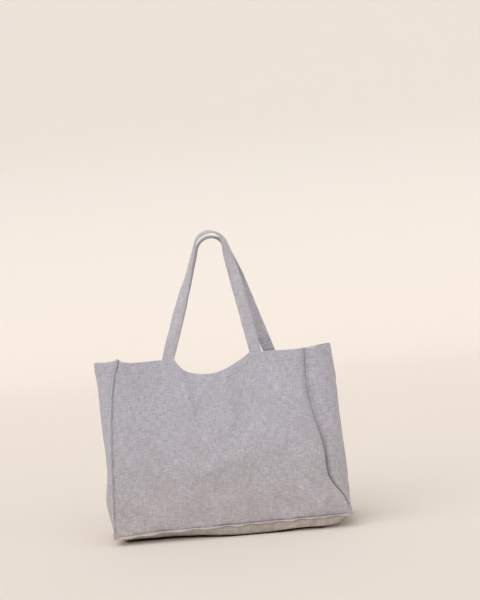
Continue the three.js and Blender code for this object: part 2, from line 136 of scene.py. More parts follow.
# What is special to each large wall
FRONT = {
    "name": "front",
    "facing": -1,
    "handle_x": (-107 * MM, 77 * MM),
    "height": BAG_HEIGHT,
    "sag": 36 * MM,
    "ears": (10 * MM, 2 * MM),
    "seed": 11,
}
BACK = {
    "name": "back",
    "facing": 1,
    "handle_x": (-111 * MM, 106 * MM),
    "height": BAG_HEIGHT - 6 * MM,
    "sag": 40 * MM,
    "ears": (0, 0),
    "seed": 23,
}


# Numbers and directions


def smooth(t):
    """0 below 0, 1 above 1 and 3t^2 - 2t^3 between them."""
    t = np.clip(t, 0, 1)
    return t * t * (3 - 2 * t)


def lerp(a, b, t):
    """a where t is 0, b where t is 1 and in proportion between them."""
    return a + (b - a) * t


def bell(distance, width):
    """exp(-(distance / width)^2)."""
    return np.exp(-((distance / width) ** 2))


def unit(vectors):
    """Each vector divided by its length."""
    return vectors / np.linalg.norm(vectors, axis=-1, keepdims=True)


def points(x, y, z):
    """Three arrays of coordinates as one array of points."""
    return np.stack(np.broadcast_arrays(x, y, z), axis=-1).astype(float)


RIPPLE_WAVES = 14
SWAY_WAVES = 5
CREASE_FADE = 0.25  # share of a fold's length over which it comes and goes


def ripples(a, b, size, seed):
    """Even unevenness over a plane: the sum of plane waves whose directions and
    phases are seeded and whose lengths lie round size, scaled to about -1 to 1."""
    draw = np.random.default_rng(seed)
    least, most = (0, 0, 0.75), (np.pi, 2 * np.pi, 1.4)
    total = 0
    for turn, phase, stretch in draw.uniform(least, most, (RIPPLE_WAVES, 3)):
        along = a * np.cos(turn) + b * np.sin(turn)
        total = total + np.cos(2 * np.pi * along / (size * stretch) + phase)
    return total / np.sqrt(2 * RIPPLE_WAVES)


def layered(a, b, waves, seed):
    """Ripples of several sizes, each given by its height and length, added up."""
    return sum(high * ripples(a, b, size, seed + i) for i, (high, size) in enumerate(waves))


def sway(s, size, seed):
    """Unevenness along a line: the sum of seeded cosines of s round one length."""
    draw = np.random.default_rng(seed)
    total = 0
    for phase, stretch in draw.uniform((0, 0.6), (2 * np.pi, 1.7), (SWAY_WAVES, 2)):
        total = total + np.cos(2 * np.pi * s / (size * stretch) + phase)
    return total / np.sqrt(2 * SWAY_WAVES)


def crease(x, z, start_x, start_z, end_x, end_z, width):
    """A soft fold from start to end in the plane x, z: a bell across the line
    that fades in and out along it."""
    dx, dz = end_x - start_x, end_z - start_z
    length = math.hypot(dx, dz)
    along = ((x - start_x) * dx + (z - start_z) * dz) / length**2
    across = ((x - start_x) * dz - (z - start_z) * dx) / length
    return bell(across, width) * smooth(along / CREASE_FADE) * smooth((1 - along) / CREASE_FADE)


def joined(*parts):
    """Arrays [section, place, ...] with their places in one row."""
    return np.concatenate(parts, axis=1)


def run_along(path, axis=0):
    """Length along a path of points up to each of them."""
    steps = np.linalg.norm(np.diff(path, axis=axis), axis=-1)
    return np.insert(np.cumsum(steps, axis=axis), 0, 0, axis=axis)


def along_path(path):
    """Unit directions along a path of points."""
    return unit(np.gradient(path, axis=0))


# The body's surfaces


def seam_lift(x):
    """Height of the bottom seam: level, tilted a little, with a dip to the left."""
    dip = CORNER_DIP * (1 - smooth((x + BAG_WIDTH / 2) / CORNER_DIP_RUN))
    return SEAM_LIFT + SEAM_LIFT_TILT * (2 * x / BAG_WIDTH) - dip


def rise(x, z):
    """0 at the bottom seam and 1 at the mouth."""
    return (z - seam_lift(x)) / (BAG_HEIGHT - seam_lift(x))


def side_rise(side, z):
    """The rise at a side's corners, not below 0."""
    return np.maximum(rise(side * BAG_WIDTH / 2, z), 0)


def seam_x(side, z):
    """Sideways place of a corner seam. The left one leans in and curls in again
    by the mouth; the right one folds in low down and once more higher up."""
    t = side_rise(side, z)
    if side < 0:
        return -BAG_WIDTH / 2 + LEFT_SEAM_DRAW * t + LEFT_SEAM_CURL * t**LEFT_CURL_POWER
    height = t * (BAG_HEIGHT - SEAM_LIFT)
    fold = RIGHT_FOLD_DRAW * (1 - np.exp(-((height / RIGHT_FOLD_HEIGHT) ** RIGHT_FOLD_POWER)))
    upper = RIGHT_UPPER_DRAW * smooth((height - RIGHT_UPPER_START) / RIGHT_UPPER_RUN)
    return BAG_WIDTH / 2 - fold - upper


def crease_x(side, z):
    """Sideways place of a gusset's middle: it swells out just above the base,
    and the left one slumps further out low down."""
    t = side_rise(side, z)
    height = t * (BAG_HEIGHT - SEAM_LIFT)
    slump = LEFT_SLUMP * bell(height - LEFT_SLUMP_HEIGHT, LEFT_SLUMP_RUN)
    most = LEFT_SWELL + slump if side < 0 else RIGHT_SWELL
    swell = most * (1 - np.exp(-height / SIDE_SWELL_RUN))
    return side * (BAG_WIDTH / 2 + swell) + MOUTH_SHIFT * t


def seam_depth(t):
    """Distance of the corner seams from the middle plane."""
    return lerp(BAG_DEPTH / 2, MOUTH_DEPTH / 2, t)


def mouth_height(x, which):
    """Height of a large wall's mouth edge: it sags between the handles and its
    corners stand up."""
    left, right = seam_x(-1, BAG_HEIGHT), seam_x(1, BAG_HEIGHT)
    ears = which["ears"]
    rises = ears[0] * np.exp((left - x) / EAR_RUN) + ears[1] * np.exp((x - right) / EAR_RUN)
    a, b = which["handle_x"]
    across = np.clip(np.abs(x - (a + b) / 2) / ((b - a - strap_width()) / 2), 0, 1)
    power = np.where(x < (a + b) / 2, SAG_POWER_LEFT, SAG_POWER_RIGHT)
    return which["height"] + rises - which["sag"] * (1 - across**power)


def wall_depth(x, z, which):
    """Distance of a large wall's outside from the middle plane: the seams' own
    depth, a fullness between them, a draw towards the handles that grows with
    height, a soft fold by one handle and a low belly."""
    t = rise(x, z)
    left, right = seam_x(-1, z), seam_x(1, z)
    u = np.clip((x - left) / (right - left), 0, 1)
    middling = 1 - np.abs(2 * u - 1) ** PANEL_SQUARENESS
    full = PANEL_FULLNESS * middling * np.sin(np.pi * np.clip(t, 0, 1))
    a, b = which["handle_x"]
    half = strap_width() / 2
    from_left = smooth((x - left) / (a - half - left))
    from_right = smooth((right - x) / (right - b - half))
    between = np.clip((x - a - half) / (b - a - 2 * half), 0, 1)
    bow = MOUTH_BOW / 2 * np.sin(np.pi * between)
    drawn_in = (MOUTH_DEPTH - MOUTH_GAP) / 2 * np.minimum(from_left, from_right) - bow
    pull = drawn_in * np.maximum(t, 0) ** PULL_POWER
    fold_x = -which["facing"] * (FOLD_TOP_X + FOLD_LEAN * (BAG_HEIGHT - z))
    fold = FOLD_DEPTH * bell(x - fold_x, FOLD_WIDTH) * smooth((z - FOLD_LOW) / FOLD_RUN)
    belly_x = (x + which["facing"] * BELLY_X) / BELLY_WIDTH
    belly = BELLY_RISE * np.exp(-(belly_x**2) - ((z - BELLY_HEIGHT) / BELLY_TALL) ** 2)
    return seam_depth(t) + full - pull - fold + belly


def large_wall(which):
    """The front or back wall as a surface of u, round the bag against the clock
    seen from above, and v, up from the bottom seam to the mouth."""

    def surface(u, v):
        across = u if which["facing"] < 0 else 1 - u
        mouth_x = lerp(seam_x(-1, BAG_HEIGHT), seam_x(1, BAG_HEIGHT), across)
        base_x = lerp(-BAG_WIDTH / 2, BAG_WIDTH / 2, across)
        z = lerp(seam_lift(base_x), mouth_height(mouth_x, which), v)
        x = lerp(seam_x(-1, z), seam_x(1, z), across)
        return points(x, which["facing"] * wall_depth(x, z, which), z)

    return surface


def side_wall(side):
    """A gusset as a surface of u and v: its middle stands out from the line
    between its two seams as 1 - |2u - 1|^SIDE_ROUNDNESS."""
    end = 0 if side < 0 else 1
    fronts = FRONT["height"] + FRONT["ears"][end]
    backs = BACK["height"] + BACK["ears"][end]

    def surface(u, v):
        back = u if side > 0 else 1 - u
        low = seam_lift(side * BAG_WIDTH / 2)
        inside = np.clip(back, 0, 1)
        corner = lerp(fronts, backs, inside)
        top = lerp(corner, BAG_HEIGHT + SIDE_MOUTH_RISE, np.sin(np.pi * inside))
        z = lerp(low, top, v)
        inner = seam_x(side, z)
        x = inner + (crease_x(side, z) - inner) * (1 - np.abs(2 * back - 1) ** SIDE_ROUNDNESS)
        return points(x, lerp(-1, 1, back) * seam_depth(side_rise(side, z)), z)

    return surface


def side_round(x):
    """Width of the base's rounding along its front and back, wide on the left."""
    start, end = SIDE_ROUND_CHANGE
    return lerp(LEFT_SIDE_ROUND, RIGHT_SIDE_ROUND, smooth((x - start) / (end - start)))


def end_round(x):
    """Width of the base's rounding at its nearer end."""
    return np.where(x < 0, LEFT_END_ROUND, RIGHT_END_ROUND)


def base_floor(u, v):
    """The base as a surface of u, front to back, and v, left to right: flat on
    the floor, rising to the bottom seam by a square law at its sides and ends."""
    x = lerp(-BAG_WIDTH / 2, BAG_WIDTH / 2, v)
    y = lerp(-BAG_DEPTH / 2, BAG_DEPTH / 2, u)
    end = (1 - np.clip((BAG_WIDTH / 2 - np.abs(x)) / end_round(x), 0, 1)) ** 2
    edge = (1 - np.clip((BAG_DEPTH / 2 - np.abs(y)) / side_round(x), 0, 1)) ** 2
    return points(x, y, seam_lift(x) * (1 - (1 - end) * (1 - edge)))


def base_slopes(x):
    """Cloth per level distance where the base leaves its side and end seams."""
    side, end = (2 * seam_lift(x) / width for width in (side_round(x), end_round(x)))
    return np.hypot(1, side), np.hypot(1, end)


def on_base(place, inset_u=0, inset_v=0):
    """The base's u and v nearest to each place, and the insets or more from its
    edges."""
    u = np.clip(place[:, 1] / BAG_DEPTH + 0.5, inset_u, 1 - inset_u)
    v = np.clip(place[:, 0] / BAG_WIDTH + 0.5, inset_v, 1 - inset_v)
    return u, v


STEP = 1e-3  # shares of u and v over which a surface's tangents are taken


def outward(surface, u, v):
    """Unit normals of a surface, from the cross product of its two tangents."""
    along = surface(np.minimum(u + STEP, 1), v) - surface(np.maximum(u - STEP, 0), v)
    up = surface(u, np.minimum(v + STEP, 1)) - surface(u, np.maximum(v - STEP, 0))
    return unit(np.cross(along, up))


def dressed(surface, relief):
    """The surface moved along its normals by relief(u, v)."""
    return lambda u, v: surface(u, v) + outward(surface, u, v) * relief(u, v)[..., None]


# Relief: how the cloth itself lies

CLOTH_WAVES = ((1.7 * MM, 105 * MM), (0.5 * MM, 36 * MM), (0.1 * MM, 12 * MM))  # height, length
EDGE_CALM = 14 * MM  # the waves grow over this distance from a seam
PUCKER = 0.35 * MM  # short puckers beside the seams
PUCKER_AT = 4 * MM
PUCKER_SPREAD = 6 * MM
PUCKER_SIZE = 11 * MM
CALM_WIDTH = 18 * MM  # calm cloth behind the end of a handle
CALM_DEPTH = 70 * MM
CALM_FADE = 40 * MM
PILLOW = 2.8 * MM  # how far the seams draw the panels' edges in
PILLOW_RUN = 3.5 * MM
PILLOW_POWER = 1.3
VALLEY = 7 * MM  # the wide fold along the upper part of the front right seam
VALLEY_SPREAD = 13 * MM
VALLEY_POWER = 1.4
VALLEY_LOW = 60 * MM
VALLEY_RUN = 60 * MM
GROOVE = 8 * MM  # its narrow bottom, which hides the seam
GROOVE_SPREAD = 3.2 * MM
GROOVE_LOW = 28 * MM
GROOVE_RUN = 32 * MM
GROOVE_OPENING = (130 * MM, 140 * MM)  # where it starts to open up, and over what height
GROOVE_OPEN_DEPTH = 5 * MM
GROOVE_OPEN_SPREAD = 8 * MM
CORNER_CALM = 15 * MM
HEM_FADE = 4 * MM
HEM_PUFF = 0.35 * MM
HEM_PUCKER = 0.34 * MM
HEM_PUCKER_SIZE = 9 * MM
HEM_PUCKER_SLANT = 0.6
HEM_PUCKER_RUN = 5 * MM
HEM_GROOVE = 0.4 * MM
ROW_WIDTH = 0.9 * MM  # of the groove that a row of stitches makes


def hem_relief(round_bag, drop, seed):
    """The hem band: slightly puffed between the mouth and its row of stitches,
    drawn in along the row and roped into small slanting puckers."""
    sizes = bpy.context.scene.bag_sizes
    row = sizes.hem_depth - sizes.stitch_inset
    band = smooth(drop / HEM_FADE) * smooth((row - drop) / HEM_FADE)
    slant = sway(round_bag + HEM_PUCKER_SLANT * drop, HEM_PUCKER_SIZE, seed)
    below = bell(np.maximum(drop - row, 0), HEM_PUCKER_RUN) * smooth(drop / row)
    puckers = HEM_PUCKER * slant * np.maximum(band, below)
    return HEM_PUFF * band - HEM_GROOVE * bell(drop - row, ROW_WIDTH) + puckers


def drawn_in(distance, from_corner):
    """How far a seam draws the cloth in at a distance from it, which fades out
    at the base's corners."""
    fall = PILLOW * np.exp(-((distance / PILLOW_RUN) ** PILLOW_POWER))
    return fall * smooth(from_corner / CORNER_CALM)


def valley(distance, z):
    """Depth of the fold that swallows the front right seam: a wide fall and a
    narrow groove, both from just above the corner; higher up the groove opens."""
    wide = VALLEY * smooth((z - VALLEY_LOW) / VALLEY_RUN)
    opened = smooth((z - GROOVE_OPENING[0]) / GROOVE_OPENING[1])
    narrow = lerp(GROOVE, GROOVE_OPEN_DEPTH, opened) * smooth((z - GROOVE_LOW) / GROOVE_RUN)
    fall = wide * np.exp(-((distance / VALLEY_SPREAD) ** VALLEY_POWER))
    return fall + narrow * bell(distance, lerp(GROOVE_SPREAD, GROOVE_OPEN_SPREAD, opened))


def fold_way(v):
    """Direction out of the front right corner, halfway between its two walls."""
    front, right = large_wall(FRONT), side_wall(1)
    one, zero = np.ones_like(v), np.zeros_like(v)
    return mitred(outward(front, one, v), outward(right, zero, v))


def folded(cloth, surface, width, at_end):
    """The cloth with its edge at the front right seam sunk into the valley."""

    def sunk(u, v):
        away = (1 - u if at_end else u) * width
        depth = valley(away, surface(u, v)[..., 2])
        return cloth(u, v) - fold_way(v) * depth[..., None]

    return sunk


def cloth_relief(surface, width, seed, folds, calm_at):
    """Relief of one wall: waves of three sizes that die out at its seams, short
    puckers that run in from the seams, the hem band and chosen folds. It lies
    calm behind the ends of the handles, and every seam draws it in."""

    def relief(u, v):
        place = surface(u, v)
        x, z = place[..., 0], place[..., 2]
        a, b = u * width, v * FLAT_HEIGHT
        drop = (1 - v) * FLAT_HEIGHT
        side = np.minimum(a, width - a)
        inside = smooth(side / EDGE_CALM) * smooth(b / EDGE_CALM)
        by_side = bell(side - PUCKER_AT, PUCKER_SPREAD) * sway(b, PUCKER_SIZE, seed + 3)
        by_base = bell(b - PUCKER_AT, PUCKER_SPREAD) * sway(a, PUCKER_SIZE, seed + 4)
        height = inside * layered(a, b, CLOTH_WAVES, seed) + PUCKER * (by_side + by_base)
        height = height + hem_relief(a, drop, seed + 5)
        for *line, fold_width, rise_by in folds:
            height = height + inside * rise_by * crease(x, z, *line, fold_width)
        for foot in calm_at:
            near = bell(x - foot, CALM_WIDTH) * smooth((CALM_DEPTH - drop) / CALM_FADE)
            height = height * (1 - near)
        height = height - drawn_in(a, b) - drawn_in(width - a, b)
        return height - drawn_in(b, side)

    return relief


BASE_WAVES = ((1.5 * MM, 60 * MM), (0.3 * MM, 16 * MM))  # height, length
BASE_SEED = 61
BASE_CALM = 8 * MM  # the waves grow over this distance from a seam,
BASE_RISE = 10 * MM  # this height above the floor
BASE_RISE_SHARE = 0.25  # and this share of the rise to the seam
HOVER = 1.6 * MM  # how far the ring round the flat middle stands off the floor
HOVER_WAVES = (  # where along the bag, how wide and how high
    (150 * MM, 50 * MM, 4.6 * MM),
    (-145 * MM, 30 * MM, 1.4 * MM),
    (-70 * MM, 18 * MM, 2 * MM),
)
HOVER_TOP = 9 * MM
RING_SIDE = (15 * MM, 35 * MM)  # where the ring starts to end, and over what distance
RING_END = (20 * MM, 50 * MM)
END_LIFT = 5 * MM  # how far the cloth is drawn up by the front right corner
END_LIFT_FROM = 175 * MM
END_LIFT_RUN = 45 * MM


def base_relief(u, v):
    """Relief of the base: its rising sides are uneven, never below the floor, as
    the waves are scaled by the height of the cloth above it. In a ring round its
    flat middle the cloth stands off the floor, by more here and there and near
    the front right corner, and the seams draw it in."""
    place = base_floor(u, v)
    x, y, z = place[..., 0], place[..., 1], place[..., 2]
    by_side = np.minimum(u, 1 - u) * BAG_DEPTH
    by_end = np.minimum(v, 1 - v) * BAG_WIDTH
    lifted = smooth(z / BASE_RISE) * smooth(z / seam_lift(x) / BASE_RISE_SHARE)
    inside = smooth(np.minimum(by_side, by_end) / BASE_CALM)
    inner = smooth((by_side - RING_SIDE[0]) / RING_SIDE[1])
    inner = inner * smooth((by_end - RING_END[0]) / RING_END[1])
    stand = HOVER + sum(high * bell(x - at, run) for at, run, high in HOVER_WAVES)
    stand = stand + END_LIFT * smooth((x - END_LIFT_FROM) / END_LIFT_RUN) * (y < 0)
    hover = stand * (1 - inner) * smooth(1 - z / HOVER_TOP)
    slope_side, slope_end = base_slopes(x)
    by_side, by_end = by_side * slope_side, by_end * slope_end
    drawn = drawn_in(by_side, by_end) + drawn_in(by_end, by_side)
    return lifted * inside * layered(x, y, BASE_WAVES, BASE_SEED) - drawn - hover


# Meshes

SHARP_FROM = math.radians(60)


def ring_faces(sections, places):
    """Faces of a closed skin over sections that are closed loops of places. The
    second half of each loop runs back along the first, so both ends close by
    joining opposite places."""
    index = np.arange(sections * places).reshape(sections, places)
    beside = np.roll(index, -1, axis=1)
    sides = np.stack([index[:-1], beside[:-1], beside[1:], index[1:]], axis=-1).reshape(-1, 4)
    k = np.arange(places // 2 - 1)
    first, last = index[0], index[-1]
    start = np.stack([first[k], first[places - 1 - k], first[places - 2 - k], first[k + 1]], axis=-1)
    end = np.stack([last[k], last[k + 1], last[places - 2 - k], last[places - 1 - k]], axis=-1)
    return np.concatenate([sides, start, end])


def outfacing(vertices, faces):
    """The faces, turned round if the volume that they enclose is negative."""
    a, b, c, d = (vertices[faces[:, i]] for i in range(4))
    volume = (np.cross(a, b) * c).sum() + (np.cross(a, c) * d).sum()
    return faces if volume > 0 else faces[:, ::-1]


def add_piece(name, rings, chart, material, rub=None):
    """An object from rings of points [copy, section, place], each copy a closed
    skin of its own, with a UV chart in metres and how rubbed each point is."""
    copies, sections, places = rings.shape[:3]
    vertices = rings.reshape(-1, 3)
    one = ring_faces(sections, places)
    one = outfacing(rings[0].reshape(-1, 3), one)
    starts = np.arange(copies) * sections * places
    faces = (one[None] + starts[:, None, None]).reshape(-1, 4)
    mesh = bpy.data.meshes.new(name)
    mesh.vertices.add(len(vertices))
    mesh.vertices.foreach_set("co", vertices.astype(np.float32).ravel())
    mesh.loops.add(faces.size)
    mesh.loops.foreach_set("vertex_index", faces.astype(np.int32).ravel())
    mesh.polygons.add(len(faces))
    mesh.polygons.foreach_set("loop_start", np.arange(0, faces.size, 4, dtype=np.int32))
    mesh.update(calc_edges=True)
    mesh.polygons.foreach_set("use_smooth", np.ones(len(faces), dtype=bool))
    layer = mesh.uv_layers.new(name="cloth")
    layer.data.foreach_set("uv", chart.reshape(-1, 2)[faces.ravel()].astype(np.float32).ravel())
    worn = mesh.attributes.new("rub", "FLOAT", "POINT")
    wear = np.broadcast_to(0 if rub is None else rub, rings.shape[:3])
    worn.data.foreach_set("value", wear.astype(np.float32).ravel())
    mesh.validate()
    mesh.set_sharp_from_angle(angle=SHARP_FROM)
    mesh.materials.append(material)
    piece = bpy.data.objects.new(name, mesh)
    bpy.context.collection.objects.link(piece)
    return piece


# Materials


class Nodes:
    """A short way to write a material's node tree."""

    def __init__(self, name):
        self.material = bpy.data.materials.new(name)
        self.material.use_nodes = True
        self.tree = self.material.node_tree
        self.shader = self.tree.nodes["Principled BSDF"]

    def add(self, kind, inputs=(), **settings):
        """A node of a kind with its inputs, each a value or a socket to link."""
        node = self.tree.nodes.new(kind)
        for key, value in settings.items():
            setattr(node, key, value)
        for key, value in dict(inputs).items():
            self.set(node.inputs[key], value)
        return node

    def set(self, socket, value):
        """Links or writes one input."""
        if isinstance(value, bpy.types.NodeSocket):
            self.tree.links.new(value, socket)
        else:
            socket.default_value = value

    def sum(self, kind, a, b=0.0, c=0.0):
        """A Math node's result."""
        return self.add("ShaderNodeMath", {0: a, 1: b, 2: c}, operation=kind).outputs[0]

    def mix(self, share, a, b, kind="MIX"):
        """Two colours mixed by a share."""
        node = self.add("ShaderNodeMix", data_type="RGBA", blend_type=kind)
        self.set(node.inputs["Factor"], share)
        self.set(node.inputs["A"], a)
        self.set(node.inputs["B"], b)
        return node.outputs["Result"]

    def noise(self, vector, size, detail=2.0, roughness=0.5):
        """Noise from about 0 to 1 with features of a size in the vector's unit."""
        inputs = {"Vector": vector, "Scale": 1 / size, "Detail": detail, "Roughness": roughness}
        return self.add("ShaderNodeTexNoise", inputs).outputs["Fac"]

    def spread(self, value, low, high, to_low=0.0, to_high=1.0):
        """A value carried from one range to another, with a smooth step."""
        inputs = {"Value": value, "From Min": low, "From Max": high}
        inputs.update({"To Min": to_low, "To Max": to_high})
        node = self.add("ShaderNodeMapRange", inputs, interpolation_type="SMOOTHSTEP")
        return node.outputs["Result"]

    def stretched(self, vector, scale, turn=0.0):
        """The vector stretched along its axes and turned."""
        inputs = {"Vector": vector, "Scale": scale, "Rotation": (0, 0, turn)}
        return self.add("ShaderNodeMapping", inputs).outputs["Vector"]

    def streaks(self, vector, size, stretch):
        """Two noises, drawn out along x and along y."""
        scales = ((1 / stretch, 1, 1), (1, 1 / stretch, 1))
        return [self.noise(self.stretched(vector, scale), size, 2.0, 0.6) for scale in scales]

    def chart(self):
        """The piece's own chart, in metres."""
        return self.add("ShaderNodeUVMap", uv_map="cloth").outputs["UV"]

    def place(self):
        """The place on the piece, in metres."""
        return self.add("ShaderNodeTexCoord").outputs["Object"]

    def part(self, vector, axis):
        """One coordinate of a vector."""
        return self.add("ShaderNodeSeparateXYZ", {"Vector": vector}).outputs[axis]

    def openness(self, reach):
        """1 in the open and 0 deep in a slit that is narrow beside the reach."""
        return self.add("ShaderNodeAmbientOcclusion", {"Distance": reach}, samples=8).outputs["AO"]

    def bump(self, height, distance, strength):
        """The normal of a surface with this height on it."""
        inputs = {"Height": height, "Distance": distance, "Strength": strength}
        return self.add("ShaderNodeBump", inputs).outputs["Normal"]

    def finished(self, inputs):
        """The material, once these inputs of its shader are set."""
        for key, value in inputs.items():
            self.set(self.shader.inputs[key], value)
        return self.material


def shade(colour, factor):
    """A colour times a factor, with full alpha."""
    return (*[min(1.0, c * factor) for c in colour], 1.0)


CLOTH_CONTRAST = 0.22  # between the weave's light and dark threads
STRAP_CONTRAST = 0.18
DRIFT_SIZE = 9 * MM  # the threads waver over this length,
DRIFT_TURN = 5.0  # by up to this many radians of their wave
SLUB = (1.9 * MM, 10)  # thick places in the threads: size and stretch
SLUB_RANGE = (0.30, 0.72)
FLECK = (3.0 * MM, 5)
BLOTCH_SIZE = 55 * MM
LOW_SHADE_TOP = 0.30  # painted shade and warm floor-bounce light: the cloth is warmer and darker below this height
LOW_BOUNCE_SHADE_TINT = (0.955, 0.88, 0.785, 1.0)
FOOT_BOUNCE_RANGE = (0.034, 0.018)  # painted warm floor-bounce light: lighter and yellower from the first height down to the second
FOOT_BOUNCE_TINT = (1.06, 1.01, 0.89, 1.0)
# painted shade: the cloth darkens in ditches narrower than this reach
DITCH_SHADE_REACH = 4 * MM
# painted contact shadow: within this reach under what stands on it the floor turns to this dark colour
SLIT_SHADOW_REACH = 7 * MM
SLIT_SHADOW_COLOUR = (0.05, 0.035, 0.025, 1.0)


def woven(name, colour, pitch, contrast):
    """Plain-woven cloth on the piece's own chart: two sets of threads cross, each
    thread uneven along its length, with light and dark slubs, flecks and faint
    blotches. Low down it carries painted shade and painted warm floor-bounce light,
    and near the floor a lighter, yellower painted bounce light; it is paler where it
    is rubbed, and painted shade darkens its ditches. The same weave gives the bump."""
    n = Nodes(name)

    def tone(steps):
        """The colour, lighter or darker by so many contrasts."""
        return shade(colour, 1 + steps * contrast)

    def tinted(share, base, tint):
        """The base multiplied by a tint where the share is 1."""
        return n.mix(share, base, n.mix(1.0, base, tint, "MULTIPLY"))

    chart = n.chart()
    drift = n.sum("MULTIPLY", n.noise(chart, DRIFT_SIZE, 1.0), DRIFT_TURN)
    waves = [n.sum("MULTIPLY_ADD", n.part(chart, axis), math.pi / pitch, drift) for axis in "XY"]
    over = n.sum("MULTIPLY", *[n.sum("SINE", wave) for wave in waves])
    pillow = n.sum("SQRT", n.sum("ABSOLUTE", over))
    weft_slub, warp_slub = n.streaks(chart, *SLUB)
    fleck = n.sum("MULTIPLY", n.sum("ADD", *n.streaks(chart, *FLECK)), 0.5)
    blotch = n.noise(chart, BLOTCH_SIZE, 2.0)
    light = n.mix(n.spread(warp_slub, *SLUB_RANGE), tone(-1), tone(1))
    dark = n.mix(n.spread(weft_slub, *SLUB_RANGE), tone(-1.3), tone(0.9))
    cloth = n.mix(n.spread(over, -0.35, 0.35), light, dark)
    cloth = n.mix(n.spread(fleck, 0.48, 0.66, 0.0, 0.55), cloth, tone(1.5))
    cloth = n.mix(n.spread(fleck, 0.52, 0.36, 0.0, 0.45), cloth, tone(-1.6))
    cloth = n.mix(n.spread(blotch, 0.3, 0.7, 0.0, 0.22), cloth, shade(colour, 0.8))
    height = n.part(n.place(), "Z")
    # painted shade and warm floor-bounce light: darker and warmer low down, patchy with the blotches
    low = n.sum("MULTIPLY", n.spread(height, LOW_SHADE_TOP, 0.0), n.spread(blotch, 0.2, 0.75, 0.5, 1.0))
    cloth = tinted(low, cloth, LOW_BOUNCE_SHADE_TINT)
    # painted warm floor-bounce light near the floor
    cloth = tinted(n.spread(height, *FOOT_BOUNCE_RANGE), cloth, FOOT_BOUNCE_TINT)
    rub = n.add("ShaderNodeAttribute", attribute_name="rub").outputs["Fac"]
    cloth = n.mix(n.sum("MULTIPLY", rub, 0.35), cloth, shade(colour, 1.3))
    # painted shade: the colour darkens where the cloth lies in a ditch or slit
    ditch_shade = n.spread(n.openness(DITCH_SHADE_REACH), 0.8, 0.3, 0.0, 0.6)
    threads = n.sum("MULTIPLY_ADD", n.sum("ADD", warp_slub, weft_slub), 0.7, pillow)
    return n.finished(
        {
            "Base Color": n.mix(ditch_shade, cloth, shade(colour, 0.25)),
            "Normal": n.bump(threads, 0.28 * MM, 0.55),
            "Roughness": 0.93,
            "Specular IOR Level": 0.25,
            "Sheen Weight": 0.18,
            "Sheen Roughness": 0.6,
        }
    )


def twisted_thread(name, colour):
    """Sewing thread: its plies wind round it as slanting bands."""
    n = Nodes(name)
    slanted = n.stretched(n.chart(), (1, 0.7, 1), 0.7)
    inputs = {"Vector": slanted, "Scale": 420.0, "Distortion": 0.6}
    plies = n.add("ShaderNodeTexWave", inputs).outputs["Fac"]
    return n.finished(
        {
            "Base Color": n.mix(plies, shade(colour, 0.84), shade(colour, 1.08)),
            "Normal": n.bump(plies, 0.1 * MM, 0.6),
            "Roughness": 0.7,
            "Sheen Weight": 0.1,
        }
    )


def plain_floor(name, near, far):
    """A matt floor and backdrop that turns from one colour to another going up,
    and has a painted contact shadow, dark in the slit under what stands on it."""
    n = Nodes(name)
    near, far = shade(near, 1), shade(far, 1)
    soft = n.noise(n.place(), 0.9, 1.0)
    plain = n.mix(n.spread(n.part(n.place(), "Z"), 0.0, 1.2), near, far)
    clouded = n.mix(n.spread(soft, 0.3, 0.7, 0.0, 0.04), plain, far)
    # painted contact shadow under what stands on the floor
    shadowed = n.spread(n.openness(SLIT_SHADOW_REACH), 0.65, 0.3)
    colour = n.mix(shadowed, clouded, SLIT_SHADOW_COLOUR)
    return n.finished({"Base Color": colour, "Roughness": 0.8, "Specular IOR Level": 0.2})


def finish_of(kind):
    """The material of a kind, made the first time that it is asked for."""
    if kind in bpy.data.materials:
        return bpy.data.materials[kind]
    sizes, colours = bpy.context.scene.bag_sizes, bpy.context.scene.bag_colours
    if kind == "bag_cloth":
        return woven(kind, colours.cloth, sizes.thread_pitch, CLOTH_CONTRAST)
    if kind == "strap_cloth":
        return woven(kind, colours.strap, sizes.thread_pitch, STRAP_CONTRAST)
    return twisted_thread(kind, colours.thread)


# Body pieces

Wall = namedtuple("Wall", "name surface width cloth")

# Chosen folds: from x and z to x and z, width and height, written in millimetres
FRONT_FOLDS = MM * np.array(
    (
        (-74, 372, -42, 205, 8, -4.4),
        (-52, 352, -16, 200, 10, 3.2),
        (-238, 233, -110, 222, 6, -1.1),
        (10, 356, 13, 200, 15, 3.8),
        (40, 352, 46, 190, 15, -3.8),
        (90, 362, 128, 240, 15, 2.0),
        (152, 128, 192, 88, 6, 2.2),
        (-40, 154, 46, 160, 18, 4.4),
        (-112, 136, 0, 142, 20, 3.2),
        (-232, 176, -190, 158, 14, 2.4),
        (10, 92, 112, 78, 22, 2.8),
        (-150, 66, -100, 58, 16, 2.0),
    )
)
BACK_FOLDS = MM * np.array(
    (
        (60, 350, 20, 210, 10, -2.8),
        (-150, 250, -60, 170, 12, 2.0),
        (120, 160, 180, 70, 12, 1.8),
    )
)
LEFT_FOLDS = MM * np.array(((-250, 380, -262, 230, 12, -1.0),))
RIGHT_SEED = 37
LEFT_SEED = 53


def strap_width():
    """The straps' width, which the mouth's shape follows too."""
    return bpy.context.scene.bag_sizes.strap_width


